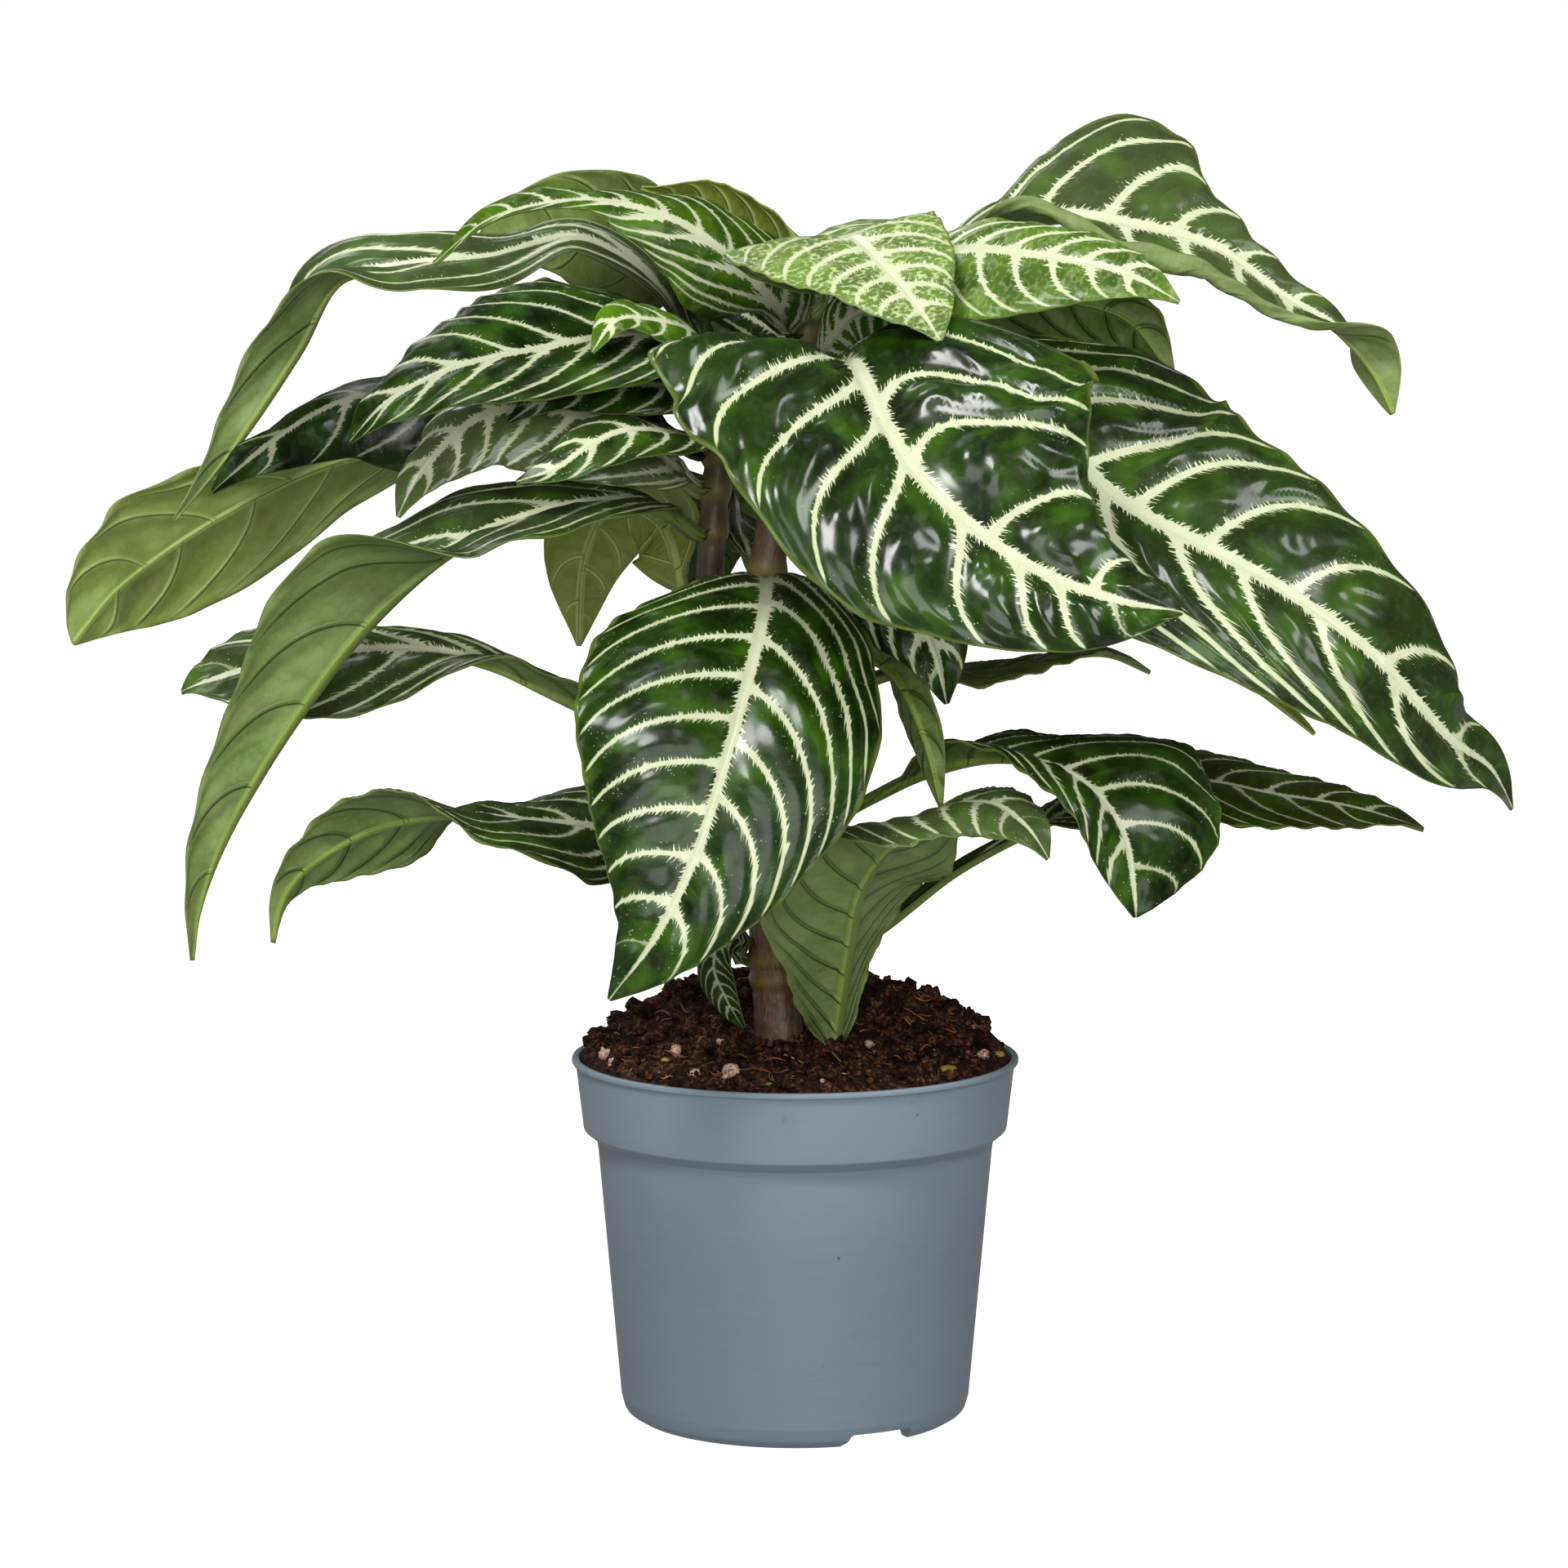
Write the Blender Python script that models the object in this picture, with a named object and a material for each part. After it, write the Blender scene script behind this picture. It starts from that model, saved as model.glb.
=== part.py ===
"""Potted zebra plant: a nursery pot, the soil in it, three stems and one solid for each leaf.

Frame: +Z up, -Y is the front, and the origin is on the pot's axis at the surface that it stands on.
Sizes and places below are in millimetres, and become metres where a mesh is made.
"""
import math
from dataclasses import dataclass

import bmesh
import bpy
from mathutils import Vector, noise

MM = 0.001

# ---- driving dimensions, mm ------------------------------------------------------------------
GAP = 0.3                    # clearance between pieces that touch

RIM_RADIUS = 70.0            # a standard 14 cm nursery pot
POT_HEIGHT = 114.0
LIP_HEIGHT = 1.8             # rolled edge around the top of the rim band
LIP_PROUD = 1.2
BAND_TOP_RADIUS = RIM_RADIUS - LIP_PROUD
BAND_FOOT_RADIUS = 66.4
BAND_FOOT = 91.5             # height where the band starts to round in to the body
SHOULDER = 87.5              # height where the rounding meets the body
SHOULDER_RADIUS = 61.9
HEEL = 6.5                   # height where the body rounds in to the foot
HEEL_RADIUS = 54.8
FOOT_RADIUS = 50.5
FOOT_INNER_RADIUS = 46.5
WALL = 1.5
FLOOR_UNDERSIDE = 3.6        # the floor stands clear of the table on the foot ring
FLOOR_TOP = 5.2
CENTRE_HOLE_RADIUS = 5.0
DRAIN_HOLE_RADIUS = 4.0
DRAIN_RING_RADIUS = 33.0
DRAIN_HOLES = 6
NOTCHES = 2                  # drainage notches in the foot, the first to the right of the front
NOTCH_WIDTH = 22.0
NOTCH_HEIGHT = 4.4
NOTCH_BEARING = -60.0        # degrees from +X
POT_SEGMENTS = 48

SOIL_EDGE = 113.5            # height of the soil at the wall, halfway between front and back
SOIL_TILT = 2.2              # how much lower the soil's edge is at the front, and higher at the back
SOIL_FRONT_RISE = 6.0        # how much higher the soil is in the middle, towards the front
SOIL_BACK_RISE = 17.0        # and how much more towards the back
SOIL_LUMP = 2.2
SOIL_SPOKES = 36
SOIL_RINGS = 9
SPROUT_POCKET = 5.3          # radius of the hole that the lowest leaf comes up through

LEAF_STATIONS = 12           # cross-sections along a leaf
LEAF_THICK = 1.2             # at the midrib; half of it at the margin
STEM_SIDES = 12

# ---- materials -------------------------------------------------------------------------------
POT_GREY = ("pot_plastic", (0.20, 0.26, 0.31), 0.48)
SOIL_BROWN = ("potting_soil", (0.035, 0.018, 0.010), 0.95)
STEM_BROWN = ("stem_bark", (0.13, 0.065, 0.045), 0.55)
LEAF_GREEN = ("leaf_green", (0.012, 0.060, 0.014), 0.32)


@dataclass
class Stem:
    """A tapering stem: points along its axis, and its radius at the bottom and at the top."""
    points: list
    foot_radius: float
    tip_radius: float


STEMS = {
    "stem_main": Stem([(-5, -8, 100), (-5, -8, 125), (-7, -8, 155), (-9, -5, 200), (-10, 0, 250),
                       (-4, 3, 300), (5, 4, 350)], 8.0, 4.0),
    "stem_left": Stem([(-15.2, 0.6, 156), (-21, 3.8, 169), (-26, 6, 200), (-27, 5, 255), (-24, 4, 300),
                       (-21, 2, 341)], 5.0, 3.6),
    "stem_right": Stem([(0, 1, 168), (7, 6, 186), (9, 9, 215), (10, 10, 250), (17, 11, 300),
                        (27, 9, 345)], 5.0, 3.6),
}


@dataclass
class Leaf:
    """One leaf, described along its midrib from the stalk to the tip.

    stem, height: where it grows from, or None for a leaf that comes up through the soil
    rib:          points that the midrib passes through
    face:         directions that the upper face looks in, evenly spaced along the leaf
    half:         greatest width from the midrib to the margin
    left, right:  degrees that each half is lifted from flat, evenly spaced along the leaf; left and
                  right are as seen from above with the tip pointing away
    roll:         degrees that a half rolls down between the midrib and its margin, left and right
    stalk:        share of the length that is the narrow stalk
    widest:       where the blade is widest, as a share of its length
    reach:        how much wider than its plain outline each half is, evenly spaced along the leaf
    """
    stem: str
    height: float
    rib: list
    face: list
    half: float
    left: tuple = (8,)
    right: tuple = (8,)
    roll: tuple = (28, 28)
    stalk: float = 0.08
    widest: float = 0.42
    reach: tuple = ((1,), (1,))


LEAVES = {
    # the front of the plant
    "leaf_front_centre": Leaf(
        "stem_main", 250, [(-9, -30, 267), (-10, -65, 257), (-19, -92, 224), (-30, -103, 190),
                           (-41, -106, 168), (-55, -101, 148)],
        [(0, -0.3, 1), (0, -0.8, 0.6), (0, -0.95, 0.3), (0, -1, 0.2)], 48, (10,), (10,), (30, 30), 0.1,
        reach=((0.8, 0.7, 0.65, 0.8, 0.9, 0.95, 0.9, 0.85, 0.85), (1, 1, 1.05, 1, 0.6))),
    "leaf_front_right": Leaf(
        "stem_main", 303, [(5, -27, 318), (11, -45, 331), (17, -62, 334), (27, -88, 316), (38, -103, 301),
                           (58, -113, 284), (76, -117, 274), (94, -118, 268), (112, -117, 264)],
        [(-0.1, -0.5, 0.85), (-0.1, -0.6, 0.8), (0.1, -0.85, 0.5), (0.1, -0.85, 0.5)], 50,
        (20, 14, 14, 6, 6), (40, 42, 24, 6, 6), (24, 24), 0.24, 0.4,
        ((1, 1, 1, 1.05, 1.25, 1.32, 1.3, 1.3, 1.28, 1.2, 1.05, 1, 1),
         (1, 1, 1, 2.4, 2.0, 1.42, 1.1, 1.03, 1, 0.88, 0.88, 0.95, 1))),
    "leaf_right_large": Leaf(
        "stem_right", 310, [(48, -2, 326), (75, -18, 312), (100, -30, 290), (127, -38, 276),
                            (147, -42, 265), (175, -44, 245), (199, -38, 219), (213, -26, 208),
                            (221, -18, 194)],
        [(0, -0.4, 0.9), (0.1, -0.7, 0.7), (0.25, -0.8, 0.5), (0.3, -0.8, 0.5), (0.5, -0.7, 0.3)],
        44, (6,), (6,), (24, 24), 0.06, 0.4, ((1.3, 1.4, 1.5, 1.32, 1.12, 1.05, 1.05, 1, 0.7),
                                              (1, 0.9, 0.9, 0.95, 0.9))),
    "leaf_low_front": Leaf(
        None, 0, [(12, -15, 104), (12, -16, 120), (14, -24, 140), (16, -32, 155), (19, -40, 171),
                  (26, -47, 184), (36, -54, 194), (48, -62, 201), (60, -71, 202), (69, -78, 196),
                  (75, -81, 187)],
        [(-0.1, 0.9, 0.4), (-0.2, 0.9, 0.4), (-0.1, 0.9, 0.4), (0, 0, 1), (0.3, -0.7, 0.6)],
        35, (50, 50, 20, 10), (0, 0, 5, 5), (20, 50), 0.1, 0.42,
        ((0.55, 0.62, 0.85, 0.8, 1), (0.6, 0.75, 1.05, 1.1, 1.1))),
    "leaf_low_back": Leaf(
        "stem_main", 146, [(-17, -8, 152), (-23, -10, 151), (-25, -12, 144), (-21, -14, 134),
                           (-15.8, -15, 125)],
        [(-0.5, -0.5, 0.7), (-0.8, -0.7, 0.2), (-0.6, -0.8, 0.1)], 8),
    "leaf_centre_hanging": Leaf(
        "stem_main", 288, [(5, -22, 287), (19, -31, 272), (34, -36, 259), (42, -39, 246), (46, -40, 229)],
        [(0, -0.7, 0.7), (-0.2, -0.9, 0.3), (0, -1, 0)], 21, (10,), (10,), (20, 20), 0.12,
        reach=((1,), (0.5, 0.5, 0.8, 1, 1))),
    "leaf_centre_pale": Leaf(
        "stem_right", 238, [(20, -10, 241), (31, -30, 236), (39, -43, 219), (44, -50, 199)],
        [(0.5, 0, 0.8), (0.6, 0.7, 0.3), (0.3, 0.9, 0)], 9, (20,), (20,)),

    # the crown
    "leaf_crown_front": Leaf(
        "stem_main", 347, [(12, -10, 367), (17, -25, 370), (29, -47, 359), (37, -60, 349), (43, -68, 340)],
        [(0, -0.3, 0.95), (-0.1, -0.55, 0.83), (0, -0.6, 0.8)], 36, (4,), (15,), (14, 14), 0.1, 0.36,
        ((1, 0.85, 0.75, 0.8, 1), (1.1, 1.15, 1.05, 0.9, 0.9))),
    "leaf_crown_under": Leaf(
        "stem_main", 328, [(11, -12, 338), (18, -20, 346), (28, -27, 347), (37, -31, 343), (43, -33, 338)],
        [(0, -0.6, 0.8), (0, -0.9, 0.4), (0, -0.8, 0.6)], 15, stalk=0.2, reach=((0.6,), (1,))),
    "leaf_crown_right": Leaf(
        "stem_right", 343, [(38, -10, 360), (50, -22, 366), (78, -37, 364), (98, -44, 360), (115, -48, 351)],
        [(0, -0.7, 0.7), (0, -0.8, 0.6), (0, -0.75, 0.65)], 22, (4,), (8,), (20, 20), 0.1,
        reach=((0.6, 0.55, 0.62, 0.8, 1), (1, 1.15, 1.2, 1, 1))),
    "leaf_crown_left": Leaf(
        "stem_main", 339, [(-7, -10, 350), (-18, -15, 362), (-34, -17, 374), (-48, -16, 379),
                           (-62, -15, 381), (-80, -13, 379), (-95, -9, 374), (-111, -5, 361)],
        [(-0.5, -0.8, 0.3), (-0.3, -0.85, 0.45), (0, -0.85, 0.5), (0, -0.75, 0.66)], 27, (0,), (-35,),
        (24, 24), 0.04, 0.33, ((1, 0.9, 0.82, 0.62, 0.42, 0.18, 0.1, 0.1, 0.3),
                               (0.92, 0.9, 0.75, 0.6, 0.5, 0.4, 0.3))),
    "leaf_crown_small": Leaf(
        "stem_left", 332, [(-32, -17, 341), (-44, -30, 345), (-54, -40, 345), (-61, -47, 336)],
        [(0, -0.6, 0.8), (-0.2, -0.8, 0.6)], 11),
    "leaf_crown_back_young": Leaf(
        "stem_main", 349, [(-3, 14, 363), (-16, 19, 372), (-28, 23, 378), (-48, 24, 384)],
        [(0.3, -0.2, 0.9), (0, 0, 1)], 14, (70,), (30,)),
    "leaf_crown_left_back": Leaf(
        "stem_left", 336, [(-36, 28, 360), (-56, 42, 367), (-74, 47, 371), (-90, 47, 368), (-103, 45, 358)],
        [(0, 0.5, 0.8), (0, 0.95, 0.2), (-0.2, 0.95, 0.1)], 23, (4,), (4,), (10, 10),
        reach=((0.3, 0.65, 1, 1, 1), (0.4, 0.7, 1, 0.9, 0.9))),

    # the right side
    "leaf_top_right": Leaf(
        "stem_right", 337, [(55, 14, 368), (80, 10, 376), (100, 6, 374), (130, 0, 366), (150, -2, 352),
                            (168, -4, 341), (178, -5, 328), (184, -6, 315)],
        [(0, -0.3, 1), (0, -0.8, 0.6), (0, -0.8, 0.6), (0.1, -0.6, 0.8), (0.3, 0.9, 0.2)], 41,
        (0, 0, 0, 20, 10), (64, 64, 24, 10, 10), (24, -10), 0.16, 0.4,
        ((0.3, 0.3, 0.2, 0.3, 0.9, 1.26, 1.1, 0.55, 0.3, 0.25, 0.3, 0.6, 0.8),
         (0.8, 0.75, 0.8, 0.8, 1))),
    "leaf_right_back_upper": Leaf(
        "stem_right", 328, [(50, 26, 343), (80, 29, 349), (104, 30, 343), (119, 28, 324)],
        [(0, 0.5, 1), (0.1, 0.9, 0.5), (0.3, 0.9, 0.3)], 18, reach=((0.5, 0.7, 1, 1), (0.4, 0.6, 1, 1))),
    "leaf_right_under": Leaf(
        "stem_right", 272, [(45, 18, 278), (85, 18, 268), (120, 12, 248), (146, 6, 228), (162, 2, 215)],
        [(0, 0, 1), (0.2, 0, 1), (0.4, 0, 0.8)], 24, (10,), (50,)),
    "leaf_right_thin_back": Leaf(
        "stem_right", 228, [(32, 16, 233), (60, 22, 233), (82, 24, 237), (98, 24, 238), (112, 24, 232)],
        [(0, 0, 1), (0, -0.1, 1), (0.3, 0, 0.9)], 13),
    "leaf_right_low": Leaf(
        "stem_right", 190, [(24, -10, 197), (44, -25, 208), (62, -40, 213), (80, -53, 211), (92, -63, 203),
                            (99, -69, 191), (102, -71, 168)],
        [(0, -0.2, 1), (0, -0.3, 1), (0.2, -0.4, 0.9), (0.3, -0.8, 0.5), (0.1, -1, 0)], 25,
        (10, 20, 0, 0), (20, 50, 40, 10), (26, 26), 0.22, 0.5,
        ((1, 1, 1.15, 2.1, 3), (1, 1, 0.8, 0.8, 1))),
    "leaf_right_far": Leaf(
        "stem_main", 140, [(27, -3, 155), (50, 2, 172), (75, 6, 185), (92, 10, 193), (110, 12, 199),
                           (130, 12, 199), (150, 12, 195), (175, 10, 191), (197, 8, 184)],
        [(-0.3, -0.2, 0.9), (-0.2, -0.3, 0.9), (0, -0.35, 0.94), (0.1, -0.35, 0.9)], 24, (8,), (8,),
        (24, 24), 0.42, 0.4),

    # the left side
    "leaf_left_arched": Leaf(
        "stem_left", 330, [(-42, 18, 353), (-56, 22, 364), (-70, 24, 369), (-95, 26, 363), (-124, 26, 360),
                           (-143, 26, 355), (-156, 24, 333), (-174, 20, 306), (-194, 12, 281)],
        [(0, -0.5, 0.85), (0, -0.8, 0.6), (-0.1, -0.7, 0.7), (-0.7, 0, 0.7), (-0.8, 0, 0.5)], 23,
        (25, 25, 25, 35, 60, 75, 60), (-20, -20, -15, 5, 30, 60, 50), (24, 20), 0.08, 0.42,
        ((0.3, 0.4, 1, 1.05, 1), (0.4, 0.45, 0.65, 1, 1))),
    "leaf_left_back": Leaf(
        "stem_left", 290, [(-60, 32, 312), (-105, 42, 306), (-149, 48, 296), (-182, 45, 280), (-204, 36, 266),
                           (-216, 26, 256), (-226, 14, 242)],
        [(0, 0.5, 0.9), (-0.1, 0.8, 0.6), (-0.1, 0.9, 0.4), (-0.1, 0.9, 0.4)], 27, (8,), (8,), (20, 20),
        0.25, 0.66, ((1, 1, 0.95, 0.85, 0.65, 0.6, 0.75, 1.1, 1.4), (1, 1, 0.95, 0.95, 0.9))),
    "leaf_left_shadow": Leaf(
        "stem_left", 302, [(-55, 2, 318), (-90, 2, 325), (-118, 3, 322), (-140, 4, 319), (-160, 5, 308),
                           (-173, 5, 297), (-181, 5, 290)],
        [(0, -0.7, 0.7), (0, -0.8, 0.6), (-0.1, -0.8, 0.5)], 24, (5,), (-30,), (24, 24), 0.1,
        reach=((1, 1, 1.3, 1.1, 1), (1,))),
    "leaf_left_sheen": Leaf(
        "stem_left", 292, [(-50, -20, 310), (-76, -23, 318), (-95, -24, 316), (-106, -26, 308),
                           (-115, -28, 297), (-121, -29, 285)],
        [(0, -0.7, 0.7), (0, -0.8, 0.5), (-0.3, -0.8, 0.4)], 22, (5,), (-10,)),
    "leaf_left_glossy": Leaf(
        "stem_left", 322, [(-42, -20, 340), (-60, -32, 340), (-78, -40, 337), (-94, -46, 334),
                           (-107, -48, 330), (-123, -49, 321), (-134, -47, 309)],
        [(0, -0.5, 0.85), (0, -0.65, 0.75), (-0.1, -0.7, 0.7)], 29, (4,), (4,), (24, 24), 0.06,
        reach=((1, 0.8, 0.7, 0.7, 1), (1.1, 1.35, 1.25, 0.95, 0.95))),
    "leaf_left_small": Leaf(
        "stem_left", 306, [(-40, -28, 311), (-52, -41, 312), (-62, -48, 308), (-72, -50, 301),
                           (-84, -50, 297)],
        [(0, -0.5, 0.85), (0, -0.7, 0.7)], 13),
    "leaf_left_dark": Leaf(
        "stem_left", 314, [(-36, -16, 323), (-54, -25, 325), (-72, -32, 323), (-87, -36, 314)],
        [(0, -0.5, 0.85), (0, -0.7, 0.7)], 13),
    "leaf_left_long": Leaf(
        "stem_left", 278, [(-45, -16, 289), (-62, -26, 290), (-82, -35, 286), (-104, -44, 277),
                           (-129, -50, 255), (-150, -50, 228), (-163, -50, 208), (-175, -48, 186),
                           (-182, -46, 166), (-184, -45, 151)],
        [(0, -0.2, 1), (-0.3, -0.1, 1), (-0.7, 0, 0.7), (-0.9, 0, 0.4), (-1, 0, 0.3)], 34,
        (0, 0, 0, 5, 70, 78, 78, 70, 60), (0, 20, 35, 40, 52, 60, 66, 50, 40), (20, 20), 0.06, 0.44,
        ((1, 1, 0.95, 0.7, 0.8), (1, 0.8, 0.9, 0.7, 0.7))),
    "leaf_left_middle": Leaf(
        "stem_left", 200, [(-45, 0, 214), (-66, -4, 224), (-80, -6, 231), (-90, -7, 236), (-101, -8, 240),
                           (-119, -9, 243), (-150, -10, 241), (-175, -9, 235), (-190, -8, 229)],
        [(0, -0.2, 1), (0, -0.4, 0.9), (0, -0.6, 0.8), (0, -0.6, 0.8)], 26, (80, 85, 60, 5, 0, 0), (10,),
        (24, 24), 0.12, 0.55, ((1, 1, 0.7, 1.1, 1.2), (1, 0.6, 0.35, 0.4, 1.1, 1.8))),
    "leaf_left_low": Leaf(
        "stem_main", 165, [(-35, -24, 184), (-62, -34, 191), (-83, -40, 194), (-103, -42, 196),
                           (-119, -42, 194), (-131, -40, 190), (-142, -39, 184), (-151, -38, 177),
                           (-157, -37, 168), (-160, -36, 155)],
        [(0, -0.5, 0.85), (0, -0.9, 0.4), (0, -0.1, 1), (-0.4, 0.8, 0.4), (-0.6, 0.6, 0.2)], 26,
        (8,), (8,), (24, 24), 0.12, 0.5, ((1, 1, 1.25, 0.75, 0.4), (1, 0.9, 0.85, 0.8, 0.45))),

    # the back
    "leaf_back_hanging": Leaf(
        "stem_left", 250, [(-43, 28, 280), (-59, 40, 282), (-67, 46, 266), (-69, 48, 238)],
        [(0, 0.3, 1), (0, 0.9, 0.4), (0, 1, 0)], 19, (8,), (8,)),
    "leaf_back_grey": Leaf(
        "stem_main", 266, [(-20, 26, 284), (-26, 42, 284), (-29, 49, 270), (-29, 51, 248)],
        [(0, 0.3, 1), (0, 0.9, 0.4), (0, 1, 0)], 19),
    "leaf_back_right": Leaf(
        "stem_right", 306, [(40, 48, 326), (72, 86, 318), (96, 112, 292), (104, 122, 266)],
        [(0, 0, 1), (0.3, 0.4, 0.9), (0.6, 0.7, 0.4)], 36),
    "leaf_back_centre": Leaf(
        "stem_main", 322, [(0, 46, 348), (-5, 88, 338), (-9, 114, 302), (-12, 122, 258)],
        [(0, 0, 1), (0, 0.5, 0.9), (0, 0.9, 0.4)], 40),
    "leaf_back_left": Leaf(
        "stem_left", 308, [(-50, 44, 328), (-90, 82, 318), (-118, 106, 294), (-130, 114, 276)],
        [(0, 0, 1), (-0.3, 0.4, 0.9), (-0.6, 0.6, 0.5)], 34),
    "leaf_back_low": Leaf(
        "stem_main", 232, [(-8, 38, 248), (-8, 74, 234), (-10, 98, 202), (-10, 106, 172)],
        [(0, 0, 1), (0, 0.6, 0.8), (0, 1, 0.2)], 29),
    "leaf_back_crown": Leaf(
        "stem_main", 341, [(12, 30, 363), (16, 58, 364), (18, 86, 352), (18, 104, 332)],
        [(0, 0, 1), (0, 0.2, 1), (0, 0.7, 0.7)], 30),
    "leaf_back_right_upper": Leaf(
        "stem_right", 318, [(50, 48, 336), (84, 76, 332), (112, 95, 314), (122, 100, 293)],
        [(0, 0, 1), (0.3, 0.2, 0.9), (0.7, 0.5, 0.5)], 28),
    "leaf_back_left_upper": Leaf(
        "stem_left", 320, [(-46, 40, 337), (-76, 62, 338), (-104, 76, 328), (-118, 82, 308)],
        [(0, 0, 1), (-0.2, 0.2, 1), (-0.6, 0.4, 0.6)], 24),
}


# ---- helpers ---------------------------------------------------------------------------------
def clear_scene():
    """Remove what the file already holds."""
    for item in list(bpy.data.objects):
        bpy.data.objects.remove(item, do_unlink=True)


def make_material(recipe):
    """A Principled material from a name, a colour and a roughness."""
    name, colour, roughness = recipe
    material = bpy.data.materials.get(name) or bpy.data.materials.new(name)
    material.use_nodes = True
    shader = material.node_tree.nodes["Principled BSDF"]
    shader.inputs["Base Color"].default_value = (*colour, 1.0)
    shader.inputs["Roughness"].default_value = roughness
    shader.inputs["Metallic"].default_value = 0.0
    return material


def make_object(name, mesh_builder, recipe, sharp_degrees=50.0):
    """Turn a bmesh whose points are in millimetres into a named object in metres."""
    bmesh.ops.recalc_face_normals(mesh_builder, faces=mesh_builder.faces)
    bmesh.ops.scale(mesh_builder, vec=(MM, MM, MM), verts=mesh_builder.verts)
    mesh = bpy.data.meshes.new(name)
    mesh_builder.to_mesh(mesh)
    mesh_builder.free()
    mesh.shade_smooth()
    mesh.set_sharp_from_angle(angle=math.radians(sharp_degrees))
    mesh.materials.append(make_material(recipe))
    made = bpy.data.objects.new(name, mesh)
    bpy.context.scene.collection.objects.link(made)
    return made


def smooth_path(points, steps=12):
    """Points of a smooth curve through the given ones, a centripetal Catmull-Rom spline."""
    knots = [Vector(point) for point in points]
    knots = [knots[0] * 2 - knots[1]] + knots + [knots[-1] * 2 - knots[-2]]
    path = [knots[1]]
    for before, start, end, after in zip(knots, knots[1:], knots[2:], knots[3:]):
        d0 = (start - before).length ** 0.5
        d1 = (end - start).length ** 0.5
        d2 = (after - end).length ** 0.5
        leave = d1 * ((start - before) / d0 - (end - before) / (d0 + d1) + (end - start) / d1)
        arrive = d1 * ((end - start) / d1 - (after - start) / (d1 + d2) + (after - end) / d2)
        for step in range(1, steps + 1):
            u = step / steps
            path.append(start * (2 * u ** 3 - 3 * u ** 2 + 1) + leave * (u ** 3 - 2 * u ** 2 + u)
                        + end * (3 * u ** 2 - 2 * u ** 3) + arrive * (u ** 3 - u ** 2))
    return path


def walk(path, share):
    """The point and the direction at a share of a path's length."""
    lengths = [(b - a).length for a, b in zip(path, path[1:])]
    wanted = share * sum(lengths)
    for index, length in enumerate(lengths):
        if wanted <= length or index == len(lengths) - 1:
            break
        wanted -= length
    a, b = path[index], path[index + 1]
    before = path[max(index - 1, 0)]
    after = path[min(index + 2, len(path) - 1)]
    u = wanted / length
    heading = (b - before).normalized().lerp((after - a).normalized(), u)
    return a.lerp(b, u), heading.normalized()


def between(values, share):
    """A value read from a list that is evenly spaced from 0 to 1, eased from one to the next."""
    place = min(max(share, 0.0), 1.0) * (len(values) - 1)
    index = min(int(place), len(values) - 2) if len(values) > 1 else 0
    if len(values) == 1:
        return values[0]
    u = place - index
    u = u * u * (3 - 2 * u)
    return values[index] * (1 - u) + values[index + 1] * u


def loft(sections):
    """A closed skin over a row of closed outlines that all have the same number of points."""
    skin = bmesh.new()
    rows = [[skin.verts.new(point) for point in section] for section in sections]
    count = len(rows[0])
    for row, after in zip(rows, rows[1:]):
        for i in range(count):
            j = (i + 1) % count
            skin.faces.new((row[i], row[j], after[j], after[i]))
    for row in (rows[0], rows[-1]):
        centre = skin.verts.new(sum((v.co for v in row), Vector()) / count)
        for i in range(count):
            skin.faces.new((row[i], row[(i + 1) % count], centre))
    bmesh.ops.triangulate(skin, faces=skin.faces)
    return skin


def cut(target, cutter):
    """Take the cutter's shape out of the target for good, and remove the cutter."""
    tool = target.modifiers.new("cut", "BOOLEAN")
    tool.operation = "DIFFERENCE"
    tool.solver = "EXACT"
    tool.object = cutter
    shaped = bpy.data.meshes.new_from_object(target.evaluated_get(bpy.context.evaluated_depsgraph_get()))
    target.modifiers.clear()
    target.data = shaped
    bpy.data.objects.remove(cutter, do_unlink=True)


# ---- pot -------------------------------------------------------------------------------------
def arc(centre, radius, start, end, steps):
    """Points of an arc in the (radius, height) plane, between two angles in degrees."""
    angles = [math.radians(start + (end - start) * i / steps) for i in range(steps + 1)]
    return [(centre[0] + radius * math.cos(a), centre[1] + radius * math.sin(a)) for a in angles]


def pot_profile():
    """The pot's wall and floor as one closed outline, outside first, from the rim down."""
    lip_foot = POT_HEIGHT - LIP_HEIGHT
    heel_round = HEEL_RADIUS - FOOT_RADIUS
    outside = [(RIM_RADIUS - 0.5, POT_HEIGHT), (RIM_RADIUS, POT_HEIGHT - 0.5),
               (RIM_RADIUS, lip_foot + 0.5), (BAND_TOP_RADIUS, lip_foot),
               (BAND_FOOT_RADIUS, BAND_FOOT), (BAND_FOOT_RADIUS - 1.2, BAND_FOOT - 1.6),
               (SHOULDER_RADIUS + 1.0, SHOULDER + 0.8), (SHOULDER_RADIUS, SHOULDER)]
    heel = arc((FOOT_RADIUS, HEEL), heel_round, 0, -70, 4)
    foot = [(FOOT_RADIUS - 1.0, 0.0), (FOOT_INNER_RADIUS, 0.0), (FOOT_INNER_RADIUS, FLOOR_UNDERSIDE),
            (CENTRE_HOLE_RADIUS, FLOOR_UNDERSIDE), (CENTRE_HOLE_RADIUS, FLOOR_TOP)]
    inside = [(HEEL_RADIUS - WALL - 3.0, FLOOR_TOP), (HEEL_RADIUS - WALL, FLOOR_TOP + 3.5),
              (SHOULDER_RADIUS - WALL, SHOULDER), (BAND_FOOT_RADIUS - WALL, BAND_FOOT),
              (BAND_TOP_RADIUS - WALL, lip_foot), (BAND_TOP_RADIUS - WALL + 0.6, POT_HEIGHT)]
    return outside + heel + foot + inside


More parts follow.
